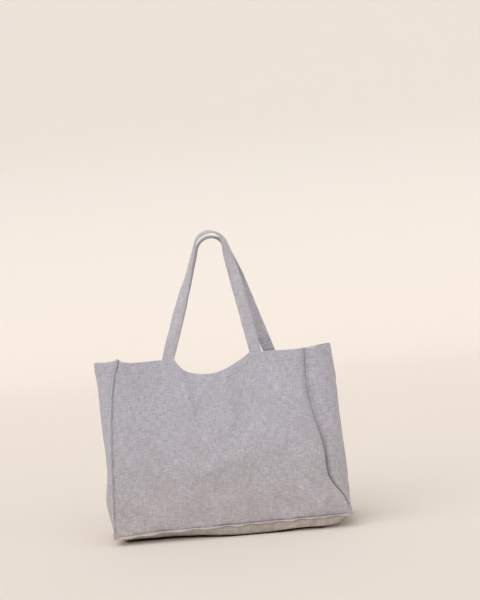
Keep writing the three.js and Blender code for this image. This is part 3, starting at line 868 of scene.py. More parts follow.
def walls():
    """The walls in order round the bag: name, plain surface, cloth's flat width
    and the cloth's own dressed surface."""
    made = []
    for name, surface, width, seed, folds, calm_at in (
        ("front", large_wall(FRONT), BAG_WIDTH, FRONT["seed"], FRONT_FOLDS, FRONT["handle_x"]),
        ("right", side_wall(1), BAG_DEPTH, RIGHT_SEED, (), ()),
        ("back", large_wall(BACK), BAG_WIDTH, BACK["seed"], BACK_FOLDS, BACK["handle_x"]),
        ("left", side_wall(-1), BAG_DEPTH, LEFT_SEED, LEFT_FOLDS, ()),
    ):
        cloth = dressed(surface, cloth_relief(surface, width, seed, folds, calm_at))
        if name in ("front", "right"):
            cloth = folded(cloth, surface, width, at_end=name == "front")
        made.append(Wall(name, surface, width, cloth))
    return made


EDGE_TRIM = 0.9 * MM
EDGE_BAND = 14 * MM
EDGE_STEPS = 20
LARGE_COLUMNS = 205
SIDE_COLUMNS = 60
EDGE_RUB = 0.8  # how rubbed the mouth edge and the straps' edges are
EDGE_RUB_RUN = 3 * MM
HEM_EDGE = 0.8 * MM  # height over which the cloth doubles at the hem
HEM_BAND = (2.5 * MM, 3.5 * MM)  # closer rows below and above that edge
ROW_STEPS = (16, 104, 16, 20)
BASE_STEPS = ((24, 50), (20, 190))  # at the edges and between them, across and along
ROUND_STEPS = 6
TURN_CHART = (0.3, 3.4)  # the chart over the mouth edge, in millimetres
TURN_CHART_END = 3.7 * MM


def crowded(width, trim, edge_steps, middle_steps):
    """Shares of a width, closer together within a band at both of its edges."""
    low = np.linspace(trim, EDGE_BAND, edge_steps)[:-1]
    middle = np.linspace(EDGE_BAND, width - EDGE_BAND, middle_steps)[:-1]
    high = np.linspace(width - EDGE_BAND, width - trim, edge_steps)
    return np.concatenate([low, middle, high]) / width


def wall_rows(sizes):
    """Shares of the height, closer together at the base's seam and round the
    hem's edge and its row."""
    top = FLAT_HEIGHT - sizes.cloth_thickness
    hem = FLAT_HEIGHT - sizes.hem_depth
    breaks = (EDGE_TRIM, EDGE_BAND, hem - HEM_BAND[0], hem + HEM_BAND[1], top)
    rows = [np.linspace(*pair, steps)[:-1] for *pair, steps in zip(breaks, breaks[1:], ROW_STEPS)]
    return np.concatenate([*rows, [top]]) / FLAT_HEIGHT


def wall_piece(name, cloth, width, columns):
    """A wall's cloth as a closed sheet: its outside, a half round over the mouth
    edge, and its inside, one thickness in and twice that within the hem."""
    sizes = bpy.context.scene.bag_sizes
    shares = crowded(width, EDGE_TRIM, EDGE_STEPS, columns)
    u, v = np.meshgrid(shares, wall_rows(sizes), indexing="ij")
    outer = cloth(u, v)
    normal = outward(cloth, u, v)
    drop = (1 - v) * FLAT_HEIGHT
    doubled = smooth((sizes.hem_depth - drop) / HEM_EDGE)
    thickness = (sizes.cloth_thickness * (1 + doubled))[..., None]
    inner = outer - normal * thickness
    top_u, top_v = u[:, -1:], v[:, -1:]
    up = unit(cloth(top_u, top_v) - cloth(top_u, top_v - STEP))
    turn = np.linspace(0, np.pi, ROUND_STEPS + 2)[1:-1][None, :, None]
    middle = (outer[:, -1:] + inner[:, -1:]) / 2
    radius = thickness[:, -1:] / 2
    cap = middle + radius * (np.cos(turn) * normal[:, -1:] + np.sin(turn) * up)
    rings = joined(outer, cap, inner[:, ::-1])
    a, b = u * width, v * FLAT_HEIGHT
    over = b[:, -1:] + np.linspace(*TURN_CHART, ROUND_STEPS)[None] * MM
    across = joined(a, np.repeat(a[:, -1:], ROUND_STEPS, axis=1), a[:, ::-1])
    upward = joined(b, over, 2 * b[:, -1:] - b[:, ::-1] + TURN_CHART_END)
    edge = joined(smooth(1 - drop / EDGE_RUB_RUN), np.ones_like(over), 0 * b)
    chart = np.stack([across, upward], axis=-1)
    piece = add_piece(name, rings[None], chart, finish_of("bag_cloth"), EDGE_RUB * edge[None])
    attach(piece, "bag")
    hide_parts(name)
    return piece


def base_piece():
    """The base's cloth as a closed sheet, one thickness from outside to inside."""
    sizes = bpy.context.scene.bag_sizes
    across, along = crowded(BAG_DEPTH, 0, *BASE_STEPS[0]), crowded(BAG_WIDTH, 0, *BASE_STEPS[1])
    u, v = np.meshgrid(across, along, indexing="ij")
    slope_side, slope_end = base_slopes((v - 0.5) * BAG_WIDTH)
    trim_u, trim_v = EDGE_TRIM / slope_side / BAG_DEPTH, EDGE_TRIM / slope_end / BAG_WIDTH
    u, v = lerp(trim_u, 1 - trim_u, u), lerp(trim_v, 1 - trim_v, v)
    outer = dressed(base_floor, base_relief)(u, v)
    inner = outer - outward(base_floor, u, v) * sizes.cloth_thickness
    rings = joined(outer, inner[:, ::-1])
    a, b = u * BAG_DEPTH, v * BAG_WIDTH
    chart = np.stack([joined(b, -b[:, ::-1]), joined(a, a[:, ::-1])], axis=-1)
    piece = add_piece("base_panel", rings[None], chart, finish_of("bag_cloth"))
    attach(piece, "bag")
    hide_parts("base_panel")
    return piece


# Pinched seams

SEAM_REACH = 3.6 * MM  # how far a seam's fillets lie over its panels
FOLDED_REACH = 1.5 * MM  # the same at the bottom of the fold
FOLDED_FROM = 4 * MM
FOLDED_RUN = 12 * MM
SEAM_SINK = 0.7 * MM
FOOT_LIFT = 0.05 * MM
SEAM_PILLOW = 0.9  # share of the seam's depth that its height makes up for
TURN_RUN = 9 * MM  # over which a ridge turns to meet the others at a corner
STILL_RUN = 14 * MM  # over which it starts to sway
THIN_SHARE = 0.45  # a low ridge's half thickness, at most this share of its height
ROOT_SHARE = 0.2  # of the flank's height: where the fillets end
NECK_SHARE = 0.5  # of half the thickness there
UNDER_SHARES = (-0.3, 0.92)  # of the neck and the reach: the hidden underside
LEAN_RUN = 12 * MM
MOUTH_FROM = 0.985  # share of the way up from which a corner ridge gets lower,
MOUTH_DROP = 0.35  # by this share
CORNER_SWAYS = ((0.12, 31 * MM), (0.22, 38 * MM))  # of height and lean: how much, how long
EDGE_SWAYS = ((0.15, 34 * MM), (0.3, 42 * MM))
CORNER_LOW = 0.06  # sections are closer together below this share
CORNER_STEPS = (16, 190)
EDGE_SECTIONS = (240, 90)  # for a large wall and for a side
FILLET = np.linspace(0, 1, 6)[:-1]
FLANK = np.linspace(0, 1, 4)[:-1]
TIP = np.linspace(0, np.pi, 8)


def mitred(a, b):
    """The direction between two unit directions, long enough to reach as far
    along both of them as each alone: (a + b) / (1 + a.b)."""
    return (a + b) / (1 + (a * b).sum(axis=-1, keepdims=True))


def ridge_rings(path, out, feet, height, lean):
    """Sections of a pinched seam, and the height of each of their places. In the
    plane of across and out, each side leaves its panel at a foot, turns up into
    the flank in a fillet, follows the flank and meets the other side in a round
    tip. Lean shifts it sideways in proportion to the height above the root."""
    sizes = bpy.context.scene.bag_sizes
    across = unit(np.cross(along_path(path), out))
    across = across * np.linalg.norm(out, axis=-1, keepdims=True)
    height, lean = height[:, None], lean[:, None]
    half = np.minimum(sizes.seam_thickness / 2, THIN_SHARE * height)
    shoulder = height - half
    low = ROOT_SHARE * shoulder
    neck = NECK_SHARE * half
    scale = (across * across).sum(axis=-1, keepdims=True)
    p, q = FILLET, 1 - FILLET
    parts = []
    for foot, way in zip(feet, (1, -1)):
        arm = foot - path
        w = way * (arm * across).sum(axis=-1, keepdims=True) / scale
        h = (arm * out).sum(axis=-1, keepdims=True) / scale
        bend_h = h * neck / np.maximum(np.abs(w), neck)
        fillet_w = q * q * w - (2 * p * q + p * p) * neck
        fillet_h = q * q * h + 2 * p * q * bend_h + p * p * low
        flank_w = -neck - (half - neck) * smooth(FLANK)
        flank_h = low + (shoulder - low) * FLANK
        w = joined(UNDER_SHARES[0] * neck, UNDER_SHARES[1] * w, fillet_w, flank_w)
        h = joined(0 * h - SEAM_SINK, h - SEAM_SINK, fillet_h, flank_h)
        parts.append((way * w, h))
    w = joined(parts[0][0], -half * np.cos(TIP), parts[1][0][:, ::-1])
    h = joined(parts[0][1], shoulder + half * np.sin(TIP), parts[1][1][:, ::-1])
    w = w + lean * np.maximum(h, 0)
    return path[:, None] + across[:, None] * w[..., None] + out[:, None] * h[..., None], h


def seam_piece(name, path, out, feet, height, lean):
    """A pinched seam, charted along and round its profile."""
    rings, h = ridge_rings(path, out, feet, height, lean)
    run = run_along(rings.mean(axis=1))
    across = run_along(rings, axis=1)
    chart = np.stack([across, np.broadcast_to(run[:, None], across.shape)], axis=-1)
    tall = height[:, None] / bpy.context.scene.bag_sizes.seam_height
    rub = smooth(h / height[:, None]) * smooth(tall)
    piece = add_piece(name, rings[None], chart, finish_of("bag_cloth"), rub[None])
    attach(piece, "bag")
    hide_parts(name)


def shape_at(pairs, at):
    """A value given at some places, in proportion between them."""
    return np.interp(at, *zip(*pairs))


def unsteady(run, sways, seed):
    """How a ridge's height and its lean sway along it."""
    return [much * sway(run, size, seed + i) for i, (much, size) in enumerate(sways)]


def corner_seam(name, before, after, shape, base_out, seed):
    """The ridge between two walls, from the bottom corner to the mouth. It starts
    where the two drawn-in walls meet. Its out direction halves the angle between
    the walls and turns to meet the base's ridges at the bottom."""
    sizes = bpy.context.scene.bag_sizes
    low, high = CORNER_STEPS
    t = np.concatenate([np.linspace(0, CORNER_LOW, low)[:-1], np.linspace(CORNER_LOW, 1, high)])
    one, zero = np.ones_like(t), np.zeros_like(t)
    run = t * FLAT_HEIGHT
    corner = before.surface(one, t)
    normal_a, normal_b = outward(before.surface, one, t), outward(after.surface, zero, t)
    drawn = drawn_in(0.0, run)
    sunk, reach = drawn, SEAM_REACH
    if shape["folded"]:
        sunk = drawn + valley(0.0, corner[:, 2])
        reach = lerp(SEAM_REACH, FOLDED_REACH, smooth((run - FOLDED_FROM) / FOLDED_RUN))
    path = corner - mitred(normal_a, normal_b) * sunk[:, None]
    out = unit(normal_a + normal_b)
    out = lerp(base_out[None], out, smooth(run / TURN_RUN)[:, None])
    foot_a = before.cloth(one - reach / before.width, t) + normal_a * FOOT_LIFT
    foot_b = after.cloth(zero + reach / after.width, t) + normal_b * FOOT_LIFT
    height = (sizes.seam_height + SEAM_PILLOW * drawn) * shape_at(shape["heights"], t)
    taller, aside = unsteady(run, CORNER_SWAYS, seed)
    height = height * (1 + taller)
    height = height * (1 - MOUTH_DROP * smooth((t - MOUTH_FROM) / (1 - MOUTH_FROM)))
    lean = (shape_at(shape["lean"], t) + aside) * smooth(run / LEAN_RUN)
    seam_piece(name, path, out, (foot_a, foot_b), height, lean)


def base_seam(name, wall, ends, shape, seed):
    """The ridge between a wall and the base. At both corners its section is
    mitred to the next wall's ridge, so that the four ridges close."""
    sizes = bpy.context.scene.bag_sizes
    large, small = EDGE_SECTIONS
    t = np.linspace(0, 1, large if wall.width > BAG_DEPTH else small)
    zero = np.zeros_like(t)
    edge = wall.surface(t, zero)
    slope_side, slope_end = base_slopes(edge[:, 0])
    inset_u, inset_v = SEAM_REACH / slope_side / BAG_DEPTH, SEAM_REACH / slope_end / BAG_WIDTH
    u_base, v_base = on_base(edge, inset_u, inset_v)
    normal_wall = outward(wall.surface, t, zero)
    normal_base = outward(base_floor, on_base(edge)[0], v_base)
    run = t * wall.width
    rest = wall.width - run
    sunk = drawn_in(0.0, np.minimum(run, rest))
    path = edge - mitred(normal_wall, normal_base) * sunk[:, None]
    out = unit(normal_wall + normal_base)
    out = lerp(out, ends[0][None], (1 - smooth(run / TURN_RUN))[:, None])
    out = lerp(out, ends[1][None], (1 - smooth(rest / TURN_RUN))[:, None])
    foot_a = wall.cloth(t, zero + SEAM_REACH / FLAT_HEIGHT) + normal_wall * FOOT_LIFT
    foot_b = dressed(base_floor, base_relief)(u_base, v_base) + normal_base * FOOT_LIFT
    still = smooth(run / STILL_RUN) * smooth(rest / STILL_RUN)
    taller, aside = unsteady(run, EDGE_SWAYS, seed)
    height = (sizes.seam_height + SEAM_PILLOW * sunk) * (1 + taller * still)
    height = height * shape_at(shape["heights"], run)
    lean = (shape_at(shape["lean"], run) + aside) * still
    seam_piece(name, path, out, (foot_a, foot_b), height, lean)


# Stitches

ROW_POINTS = 400  # along a path that stitches follow
STITCH_SLANT = 0.05
STITCH_SIDES = 6
STITCH_SECTIONS = 5
STITCH_ENDS = 0.93  # how near its ends come to the tips of the ellipse


def stitch_rings(place, along, out, sizes):
    """One small closed skin for each stitch: a six-sided section carried along
    the stitch, whose ends dip into the cloth as an ellipse does."""
    length, width = sizes.stitch_length, sizes.thread_width
    share = np.linspace(-1, 1, STITCH_SECTIONS)[None, :, None]
    plump = np.sqrt(np.maximum(1 - (STITCH_ENDS * share) ** 2, 0))
    turn = (np.arange(STITCH_SIDES) * 2 * np.pi / STITCH_SIDES)[None, None, :]
    side = np.cross(out, along)
    ahead = share * length / 2 + 0 * turn
    beside = plump * np.cos(turn) * width / 2
    above = plump * (0.35 + 0.65 * np.sin(turn)) * width * 0.42
    rings = (
        place[:, None, None]
        + along[:, None, None] * ahead[..., None]
        + side[:, None, None] * beside[..., None]
        + out[:, None, None] * above[..., None]
    )
    chart = np.stack(np.broadcast_arrays(ahead, turn * width / 2), axis=-1)
    return rings, np.broadcast_to(chart, (*rings.shape[:3], 2))


def stitch_row(path, out, sizes):
    """Stitches at an even pitch along a path whose outward directions are known."""
    run = run_along(path)
    pitch = sizes.stitch_length + sizes.stitch_gap
    count = max(2, int(run[-1] / pitch))
    at = (np.arange(count) + 0.5) * run[-1] / count

    def sampled(lengths, values):
        """Points of a path, or its directions, at some lengths along it."""
        return np.stack([np.interp(lengths, run, column) for column in values.T], axis=-1)

    face = unit(sampled(at, out))
    along = unit(sampled(at + pitch / 4, path) - sampled(at - pitch / 4, path))
    along = unit(along + STITCH_SLANT * np.cross(face, along))
    return stitch_rings(sampled(at, path), along, face, sizes)


def stitch_piece(name, rows):
    """All the stitches of some rows as one object."""
    rings = np.concatenate([rings for rings, _ in rows])
    chart = np.concatenate([chart for _, chart in rows])
    return add_piece(name, rings, chart, finish_of("sewing_thread"))


# Handles


def leg(foot_x, foot_z, bend_z, way):
    """Heading and length of a straight leg that touches the bend's circle."""
    distance = math.hypot(TOP_BEND_X - foot_x, bend_z - foot_z)
    to_bend = math.atan2(bend_z - foot_z, TOP_BEND_X - foot_x)
    heading = to_bend + way * math.asin(TOP_BEND_RADIUS / distance)
    return heading, math.sqrt(distance**2 - TOP_BEND_RADIUS**2)


def handle_route(which):
    """The legs and bend of a handle, with the bend at the height at which the
    strap has its own length, found by halving."""
    foot_z = which["height"] + HANDLE_START
    low, high = BAG_HEIGHT + 2 * TOP_BEND_RADIUS, BAG_HEIGHT + STRAP_LENGTH / 2
    for _ in range(40):
        bend_z = (low + high) / 2
        first = leg(which["handle_x"][0], foot_z, bend_z, 1)
        second = leg(which["handle_x"][1], foot_z, bend_z, -1)
        turn = math.pi + first[0] - second[0]
        total = first[1] + second[1] + TOP_BEND_RADIUS * turn
        low, high = (bend_z, high) if total < STRAP_LENGTH else (low, bend_z)
    return first, second, turn, total, bend_z, foot_z


def strap_frame(which, s):
    """Centre and width direction of a strap at lengths s from its left foot;
    below 0 and past its free length it runs straight down inside the hem. It
    faces the front at its feet and turns edge on where it is held."""
    first, second, turn, total, bend_z, foot_z = handle_route(which)
    a, b = which["handle_x"]
    sizes = bpy.context.scene.bag_sizes
    facing = which["facing"]
    on_bend = np.clip(s - first[1], 0, TOP_BEND_RADIUS * turn)
    heading = first[0] - on_bend / TOP_BEND_RADIUS
    left, right = s < first[1], s > total - second[1]
    up = np.clip(s, 0, None)
    down = np.clip(total - s, 0, None)
    x = np.where(left, a + np.cos(first[0]) * up, TOP_BEND_X - TOP_BEND_RADIUS * np.sin(heading))
    x = np.where(right, b + np.cos(second[0]) * down, x)
    z = np.where(left, foot_z + np.sin(first[0]) * up, bend_z + TOP_BEND_RADIUS * np.cos(heading))
    z = np.where(right, foot_z + np.sin(second[0]) * down, z)
    below = np.maximum(-s, 0) + np.maximum(s - total, 0)
    z = z - below
    from_top = np.abs(s - (first[1] + TOP_BEND_RADIUS * turn / 2))
    from_foot = np.minimum(up, down)
    inside = sizes.cloth_thickness * 2 + TAB_GAP + sizes.strap_thickness / 2
    foot_y = wall_depth(x, np.minimum(z, which["height"]), which) - inside
    foot_y = np.where(from_foot > 0, wall_depth(a, which["height"], which) - inside, foot_y)
    top_y = (sizes.strap_width + HANDLE_CLEARANCE) / 2
    run = np.where(s < total / 2, LEFT_TWIST_RUN, RIGHT_TWIST_RUN)
    y = lerp(top_y, foot_y, smooth(from_top / run))
    upright = below > 0
    cos = np.where(upright, 0.0, np.cos(heading))
    sin = np.where(upright, np.sign(total / 2 - s), np.sin(heading))
    level = points(np.sign(sin), 0, 0)
    in_plane = points(sin, 0, -cos)
    flat = unit(lerp(level, in_plane, smooth(from_foot / sizes.strap_width)[..., None]))
    twist = (np.pi / 2 * smooth(1 - from_top / run))[..., None]
    side = points(0 * s, facing, 0)
    return points(x, facing * y, z), flat * np.cos(twist) + side * np.sin(twist)


ROUNDING = 9 * MM  # how far a strap's frame is averaged each way
ROUNDING_WEIGHTS = np.array([1, 3, 5, 6, 5, 3, 1]) / 24


def rounded_frame(which, s):
    """Centre, width and depth directions of the strap, averaged over a few
    millimetres each way, so that it bends where its route has corners."""
    centre, width = 0, 0
    offsets = np.linspace(-ROUNDING, ROUNDING, len(ROUNDING_WEIGHTS))
    for offset, weight in zip(offsets, ROUNDING_WEIGHTS):
        place, flat = strap_frame(which, s + offset)
        centre, width = centre + weight * place, width + weight * flat
    along = along_path(centre)
    width = unit(width - along * (width * along).sum(axis=-1, keepdims=True))
    return centre, width, np.cross(width, along)


CUP = 0.15  # half a strap's width over the radius of its arc
HELD_CUP = 0.6  # how much more that is where it is held
CUP_SWAY = 0.3
CUP_SIZE = 80 * MM
CUP_SEED = 70
HELD_REACH = 200 * MM
HELD_RUN = 150 * MM
FLAT_FOOT = 4 * MM  # a strap is flat this far above its feet
FLAT_FOOT_RUN = 60 * MM


def strap_surface(which, s, a, h):
    """Points on a strap [s, place]: a is the distance across from its middle and
    h the height off its middle layer. The strap cups lengthwise, more so where
    it is held, as an arc whose length is the strap's width."""
    centre, width, depth = (part[:, None] for part in rounded_frame(which, s))
    total = handle_route(which)[3]
    half = strap_width() / 2
    held = smooth((HELD_REACH - np.abs(s - total / 2)) / HELD_RUN)
    curl = which["facing"] * (CUP + HELD_CUP * held)
    curl = (curl + CUP_SWAY * sway(s, CUP_SIZE, which["seed"] + CUP_SEED)) / half
    free = smooth((np.minimum(s, total - s) - FLAT_FOOT) / FLAT_FOOT_RUN)
    curl = (curl * free)[:, None]
    bend = a * curl
    beside = a * np.sinc(bend / np.pi)
    cup = a * a * curl / 2 * np.sinc(bend / (2 * np.pi)) ** 2
    mean_cup = half**2 * curl / 6
    return (
        centre
        + width * (beside - h * np.sin(bend))[..., None]
        + depth * (cup - mean_cup + h * np.cos(bend))[..., None]
    )


STRAP_ROW_INSET = 2.6 * MM
STRAP_GROOVE = 0.28 * MM
STRAP_CROWN = 0.12 * MM
STRAP_SEED = 40
STRAP_SECTIONS = 420
STITCH_POINTS = 500
THREAD_SINK = 0.12 * MM
TAB_SHORT = 2 * MM  # a sewn end is shorter than the hem is deep
RIB_AT = 12 * MM  # ribs across the strap above its feet
RIB_SPREAD = 24 * MM
RIB_SIZE = 5.5 * MM
RIB = 0.45
EDGE_PUCKER = 0.10
EDGE_PUCKER_SIZE = 6.5 * MM
STRAP_WAVE = 0.35 * MM
STRAP_WAVE_SIZE = 34 * MM
WIDTH_SWAY = 0.012
WIDTH_SWAY_SIZE = 22 * MM


def strap_profile(sizes):
    """Places round a strap's section, as distance across and height, with grooves
    where its two rows of stitches draw it in, and the rows' distance across."""
    half = sizes.strap_width / 2
    radius = sizes.strap_thickness / 2
    across = np.linspace(-1, 1, 23) * (half - radius)
    row = half - STRAP_ROW_INSET
    groove = STRAP_GROOVE * bell(np.abs(across) - row, ROW_WIDTH)
    face = radius - groove + STRAP_CROWN * (1 - (across / half) ** 2)
    turn = np.linspace(np.pi / 2, -np.pi / 2, 5)[1:-1]
    edge_a = half - radius + radius * np.cos(turn)
    edge_h = radius * np.sin(turn)
    a = np.concatenate([across, edge_a, across[::-1], -edge_a])
    h = np.concatenate([face, edge_h, -face[::-1], -edge_h])
    return a, h, row


def strap_piece(which):
    """A whole handle: one flat strap from inside the hem, over the top and back,
    with puckers between its stitches and ribs above its feet."""
    sizes = bpy.context.scene.bag_sizes
    total = handle_route(which)[3]
    tail = sizes.hem_depth - TAB_SHORT + HANDLE_START
    s = np.linspace(-tail, total + tail, STRAP_SECTIONS)
    a, h, _ = strap_profile(sizes)
    seed = which["seed"] + STRAP_SEED
    from_foot = np.clip(np.minimum(s, total - s), 0, None)
    ribs = RIB * bell(from_foot - RIB_AT, RIB_SPREAD) * sway(s, RIB_SIZE, seed)
    puckers = EDGE_PUCKER * sway(s, EDGE_PUCKER_SIZE, seed + 1)
    edge = np.abs(a) / (sizes.strap_width / 2)
    lift = (ribs[:, None] + puckers[:, None] * edge**4) * MM
    waves = STRAP_WAVE * ripples(s[:, None], a[None], STRAP_WAVE_SIZE, seed + 2)
    out = a[None] * (1 + WIDTH_SWAY * sway(s, WIDTH_SWAY_SIZE, seed + 3))[:, None]
    free = smooth(from_foot / (20 * MM))[:, None]
    rings = strap_surface(which, s, out, h[None] + lift * np.sign(h)[None] + free * waves)
    around = run_along(np.stack([a, h], axis=-1))
    chart = np.stack(np.broadcast_arrays(around[None] + 0.3 * which["facing"], s[:, None]), axis=-1)
    rub = EDGE_RUB * smooth((edge - 0.93) / 0.07)[None, None]
    piece = add_piece(which["name"] + "_strap", rings[None], chart, finish_of("strap_cloth"), rub)
    handle = which["name"] + "_handle"
    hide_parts(handle, handle + "_left_tab", handle + "_right_tab")
    bend_with_handle(piece)


def strap_stitches(which):
    """Two rows of stitches along each face of a strap."""
    sizes = bpy.context.scene.bag_sizes
    total = handle_route(which)[3]
    s = np.linspace(0.5 * MM, total - 0.5 * MM, STITCH_POINTS)
    row = strap_profile(sizes)[2]
    rows = []
    for side in (-1, 1):
        across = np.full((len(s), 1), side * row)
        for face in (-1, 1):
            level = face * (sizes.strap_thickness / 2 - THREAD_SINK)
            path = strap_surface(which, s, across, level)[:, 0]
            above = strap_surface(which, s, across, level + face * MM)[:, 0]
            rows.append(stitch_row(path, unit(above - path), sizes))
    piece = stitch_piece(which["name"] + "_strap_stitches", rows)
    bend_with_handle(piece)


def bend_with_handle(piece):
    """The piece with its placement baked into its mesh."""
    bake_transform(piece)


# Sizes and colours


def length(name, words, default, low, high):
    """A length property in metres."""
    return FloatProperty(
        name=name, description=words, default=default, min=low, max=high, unit="LENGTH", precision=4
    )


def colour(name, words, default):
    """A colour property, in linear values."""
    return FloatVectorProperty(
        name=name, description=words, default=default, size=3, min=0, max=1, subtype="COLOR"
    )


class BagSizes(PropertyGroup):
    """Sizes of the cloth, its seams, its stitches and its straps."""

    cloth_thickness: length("Cloth thickness", "Thickness of one layer of cloth", 0.0012, 0.0003, 0.003)
    hem_depth: length("Hem depth", "Depth of the folded band round the mouth", 0.025, 0.01, 0.06)
    seam_height: length("Seam height", "How far a pinched seam stands out", 0.004, 0.001, 0.008)
    seam_thickness: length("Seam thickness", "Thickness of a pinched seam", 0.0022, 0.001, 0.006)
    thread_pitch: length("Thread pitch", "Distance between neighbouring threads", 0.0009, 0.0003, 0.003)
    stitch_length: length("Stitch length", "Length of one visible stitch", 0.0027, 0.001, 0.008)
    stitch_gap: length("Stitch gap", "Cloth between two stitches", 0.0007, 0.0002, 0.004)
    stitch_inset: length("Stitch inset", "Hem stitching above the turned edge", 0.001, 0.0005, 0.006)
    thread_width: length("Thread width", "Width of the sewing thread", 0.0006, 0.0002, 0.002)
    strap_width: length("Strap width", "Width of a handle's strap", 0.025, 0.01, 0.06)
    strap_thickness: length("Strap thickness", "Thickness of a handle's strap", 0.002, 0.001, 0.006)


class BagColours(PropertyGroup):
    """Colours of the bag and of what it stands on."""

    cloth: colour("Cloth", "Main colour of the woven cloth", (0.45, 0.438, 0.488))
    strap: colour("Straps", "Colour of the handles' cloth", (0.50, 0.482, 0.525))
    thread: colour("Thread", "Colour of the sewing thread", (0.48, 0.46, 0.48))
    floor: colour("Floor", "Colour of the floor", (0.812, 0.733, 0.666))
    backdrop: colour("Backdrop", "Colour of the wall behind", (0.797, 0.75, 0.70))


# Operators

CAMERA_PLACE = (0.130, -2.414, 0.566)
CAMERA_TURN = math.radians(1.8)
CAMERA_DOWN = math.radians(2.0)
CAMERA_ROLL = math.radians(-5.2)
CAMERA_LENS = 69.0
CAMERA_SENSOR = 36
CAMERA_FAR = 60


class BAG_OT_camera(Operator):
    """Adds the camera at the view of the photograph"""

    bl_idname = "shopping_bag.camera"
    bl_label = "Camera"

    def execute(self, context):
        a, e, r = CAMERA_TURN, CAMERA_DOWN, CAMERA_ROLL
        back = np.array((math.sin(a) * math.cos(e), -math.cos(a) * math.cos(e), math.sin(e)))
        level = np.array((math.cos(a), math.sin(a), 0))
        upright = np.cross(back, level)
        right = math.cos(r) * level + math.sin(r) * upright
        up = -math.sin(r) * level + math.cos(r) * upright
        camera = bpy.data.objects.new("camera", bpy.data.cameras.new("camera"))
        camera.data.lens = CAMERA_LENS
        camera.data.sensor_width = CAMERA_SENSOR
        camera.data.clip_end = CAMERA_FAR
        pose = np.eye(4)
        pose[:3, 0], pose[:3, 1], pose[:3, 2], pose[:3, 3] = right, up, back, CAMERA_PLACE
        camera.matrix_world = Matrix(pose.tolist())
        context.collection.objects.link(camera)
        context.scene.camera = camera
        return {"FINISHED"}


class BAG_OT_panels(Operator):
    """Makes the front, back and side panels and the base"""

    bl_idname = "shopping_bag.panels"
    bl_label = "Cloth panels"

    def execute(self, context):
        for wall in walls():
            large = wall.name in ("front", "back")
            node = wall.name + ("_panel" if large else "_gusset")
            columns = LARGE_COLUMNS if large else SIDE_COLUMNS
            piece = wall_piece(node, wall.cloth, wall.width, columns)
        piece = base_piece()
        return {"FINISHED"}


def base_corner(before, after):
    """Out direction of the base's ridges at the corner between two walls."""
    one, zero = np.ones(1), np.zeros(1)
    down = outward(base_floor, *on_base(before.surface(one, zero)))
    out_a = unit(outward(before.surface, one, zero) + down)
    out_b = unit(outward(after.surface, zero, zero) + down)
    return mitred(out_a, out_b)[0]


# Heights and leans of the ridges, as shares, at shares of the way up a corner
PLAIN_HEIGHTS = ((0, 0.7), (0.04, 1), (0.92, 1), (0.94, 0.8), (1, 0.8))
RIDGES = {
    "front_left_seam": {
        "folded": False,
        "heights": PLAIN_HEIGHTS,
        "lean": ((0, 0), (0.1, -0.25), (1, -0.25)),
    },
    "front_right_seam": {
        "folded": True,
        "heights": ((0, 0.5), (0.05, 0.35), (0.4, 0.35), (0.6, 0.2), (0.95, 0.2), (1, 0.5)),
        "lean": ((0, 0), (0.05, 0), (0.3, 0.1), (1, 0.1)),
    },
    "back_right_seam": {"folded": False, "heights": PLAIN_HEIGHTS, "lean": ((0, 0), (1, 0.3))},
    "back_left_seam": {"folded": False, "heights": PLAIN_HEIGHTS, "lean": ((0, 0), (1, -0.2))},
}
CORNER_SEED = 80

# The same for the base's ridges, at lengths along them in metres
PLAIN_EDGE = {"heights": ((0, 1), (1, 1)), "lean": ((0, 0), (1, 0))}
FRONT_EDGE = {
    "heights": ((0, 0.7), (0.03, 0.9), (0.08, 1.05), (0.12, 1), (0.45, 1), (0.49, 0.7)),
    "lean": ((0, 0.2), (0.04, 0.2), (0.08, 0), (1, 0)),
}
EDGE_SEED = 95


class BAG_OT_seams(Operator):
    """Makes the pinched seams up the corners and round the base"""

    bl_idname = "shopping_bag.seams"
    bl_label = "Pinched seams"

    def execute(self, context):
        around = walls()
        corners = [base_corner(around[i - 1], around[i]) for i in range(4)]
        for i, (name, shape) in enumerate(RIDGES.items()):
            corner_seam(name, around[i - 1], around[i], shape, corners[i], CORNER_SEED + 3 * i)
        for i, wall in enumerate(around):
            ends = (corners[i], corners[(i + 1) % 4])
            shape = FRONT_EDGE if wall.name == "front" else PLAIN_EDGE
            base_seam(wall.name + "_base_seam", wall, ends, shape, EDGE_SEED + 3 * i)
        return {"FINISHED"}


HEM_ROW_INSET = 2.5 * MM  # from the corner seams


class BAG_OT_hem_stitches(Operator):
    """Makes the row of stitches round the hem"""

    bl_idname = "shopping_bag.hem_stitches"
    bl_label = "Hem stitches"

    def execute(self, context):
        sizes = context.scene.bag_sizes
        drop = sizes.hem_depth - sizes.stitch_inset
        for wall in walls():
            inset = HEM_ROW_INSET / wall.width
            u = np.linspace(inset, 1 - inset, ROW_POINTS)
            v = np.full_like(u, 1 - drop / FLAT_HEIGHT)
            rows = [stitch_row(wall.cloth(u, v), outward(wall.surface, u, v), sizes)]
            piece = stitch_piece(wall.name + "_hem_stitches", rows)
            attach(piece, "bag")
            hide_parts(wall.name + "_hem_stitching")
        return {"FINISHED"}


class BAG_OT_handles(Operator):
    """Makes the two strap handles with their edge stitching"""

    bl_idname = "shopping_bag.handles"
    bl_label = "Strap handles"

    def execute(self, context):
        for which in (FRONT, BACK):
            strap_piece(which)
            strap_stitches(which)
        return {"FINISHED"}


BOX_CORNERS = ((-1, 0), (1, 0), (1, 1), (-1, 1), (-1, 0))
BOX_INSET = 3 * MM
BOX_STEPS = 12


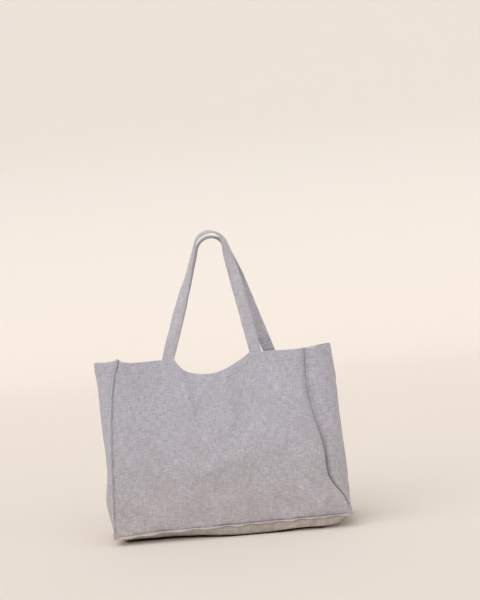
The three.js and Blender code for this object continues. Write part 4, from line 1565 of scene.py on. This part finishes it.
class BAG_OT_handle_ends(Operator):
    """Makes the box of stitches that holds each end of a handle"""

    bl_idname = "shopping_bag.handle_ends"
    bl_label = "Handle end stitches"

    def execute(self, context):
        sizes = context.scene.bag_sizes
        around = {wall.name: wall for wall in walls()}
        reach = sizes.strap_width / 2 - BOX_INSET
        tall = sizes.hem_depth - TAB_SHORT
        left, right = seam_x(-1, BAG_HEIGHT), seam_x(1, BAG_HEIGHT)
        sides = [np.linspace(a, b, BOX_STEPS).T for a, b in zip(BOX_CORNERS, BOX_CORNERS[1:])]
        for which in (FRONT, BACK):
            wall = around[which["name"]]
            for end, foot in zip(("left", "right"), which["handle_x"]):
                rows = []
                for x, z in sides:
                    drop = BOX_INSET + (1 - z) * (tall - 2 * BOX_INSET)
                    u = (foot + x * reach - left) / (right - left)
                    u = u if which["facing"] < 0 else 1 - u
                    v = 1 - drop / FLAT_HEIGHT
                    rows.append(stitch_row(wall.cloth(u, v), outward(wall.surface, u, v), sizes))
                name = which["name"] + "_handle_" + end
                piece = stitch_piece(name + "_stitches", rows)
                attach(piece, "bag")
                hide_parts(name + "_stitching")
        return {"FINISHED"}


FLOOR_HALF = 9.0
FLOOR_CUTS = (-3, 0, 2.6)  # where the level part is cut across
BACKDROP_START = 3.2
BACKDROP_RADIUS = 1.4
BACKDROP_TOP = 7
BACKDROP_STEPS = 24
SKY_STRENGTH = 0.55
LIGHTS = (  # towards the light, strength and angle in degrees
    ("key", (-0.50, -0.47, 0.73), 1.48, 72),
    ("fill", (0.67, -0.70, 0.25), 0.82, 80),
)


class BAG_OT_stage(Operator):
    """Makes the floor with its backdrop, the lights and the world"""

    bl_idname = "shopping_bag.stage"
    bl_label = "Stage"

    def execute(self, context):
        scene = context.scene
        turn = np.linspace(0, np.pi / 2, BACKDROP_STEPS)
        flat = (-FLOOR_HALF, *FLOOR_CUTS)
        back = BACKDROP_START + BACKDROP_RADIUS
        y = np.concatenate([flat, BACKDROP_START + BACKDROP_RADIUS * np.sin(turn), [back]])
        z = np.concatenate([0 * np.array(flat), BACKDROP_RADIUS * (1 - np.cos(turn)), [BACKDROP_TOP]])
        x = np.array([-FLOOR_HALF, FLOOR_HALF])
        place = points(x[:, None], y[None], z[None]).reshape(-1, 3)
        count = len(y)
        i = np.arange(count - 1)
        faces = np.stack([i, i + count, i + count + 1, i + 1], axis=-1)
        mesh = bpy.data.meshes.new("floor")
        mesh.from_pydata(place.tolist(), [], faces.tolist())
        mesh.polygons.foreach_set("use_smooth", np.ones(len(faces), dtype=bool))
        colours = scene.bag_colours
        mesh.materials.append(plain_floor("floor", colours.floor, colours.backdrop))
        floor = bpy.data.objects.new("floor", mesh)
        context.collection.objects.link(floor)
        for name, towards, strength, softness in LIGHTS:
            lamp = bpy.data.lights.new(name, "SUN")
            lamp.energy, lamp.angle = strength, math.radians(softness)
            light = bpy.data.objects.new(name, lamp)
            light.rotation_euler = Vector(towards).to_track_quat("Z", "Y").to_euler()
            context.collection.objects.link(light)
        world = bpy.data.worlds.new("studio")
        world.use_nodes = True
        sky = world.node_tree.nodes["Background"]
        sky.inputs["Color"].default_value = (1.0, 1.0, 1.0, 1.0)
        sky.inputs["Strength"].default_value = SKY_STRENGTH
        scene.world = world
        scene.view_settings.view_transform = "Standard"
        return {"FINISHED"}


class BAG_PT_panel(Panel):
    """The bag's sizes, colours and pieces"""

    bl_idname = "BAG_PT_panel"
    bl_label = "Shopping bag"
    bl_space_type = "VIEW_3D"
    bl_region_type = "UI"
    bl_category = "Shopping bag"

    def draw(self, context):
        layout = self.layout
        for group in (context.scene.bag_sizes, context.scene.bag_colours):
            box = layout.box()
            for name in group.bl_rna.properties.keys():
                if name not in ("rna_type", "name"):
                    box.prop(group, name)
        for operator in OPERATORS:
            layout.operator(operator.bl_idname)


OPERATORS = (
    BAG_OT_camera,
    BAG_OT_panels,
    BAG_OT_seams,
    BAG_OT_hem_stitches,
    BAG_OT_handles,
    BAG_OT_handle_ends,
    BAG_OT_stage,
)
CLASSES = (BagSizes, BagColours, *OPERATORS, BAG_PT_panel)


def register():
    """Registers the classes and gives the scene its sizes and colours."""
    for cls in CLASSES:
        bpy.utils.register_class(cls)
    bpy.types.Scene.bag_sizes = PointerProperty(type=BagSizes)
    bpy.types.Scene.bag_colours = PointerProperty(type=BagColours)


def unregister():
    """Takes all of it away again."""
    del bpy.types.Scene.bag_colours
    del bpy.types.Scene.bag_sizes
    for cls in reversed(CLASSES):
        bpy.utils.unregister_class(cls)


def main():
    """Builds the bag and its stage."""
    register()
    for operator in OPERATORS:
        group, name = operator.bl_idname.split(".")
        getattr(getattr(bpy.ops, group), name)()


if __name__ == "__main__":
    main()
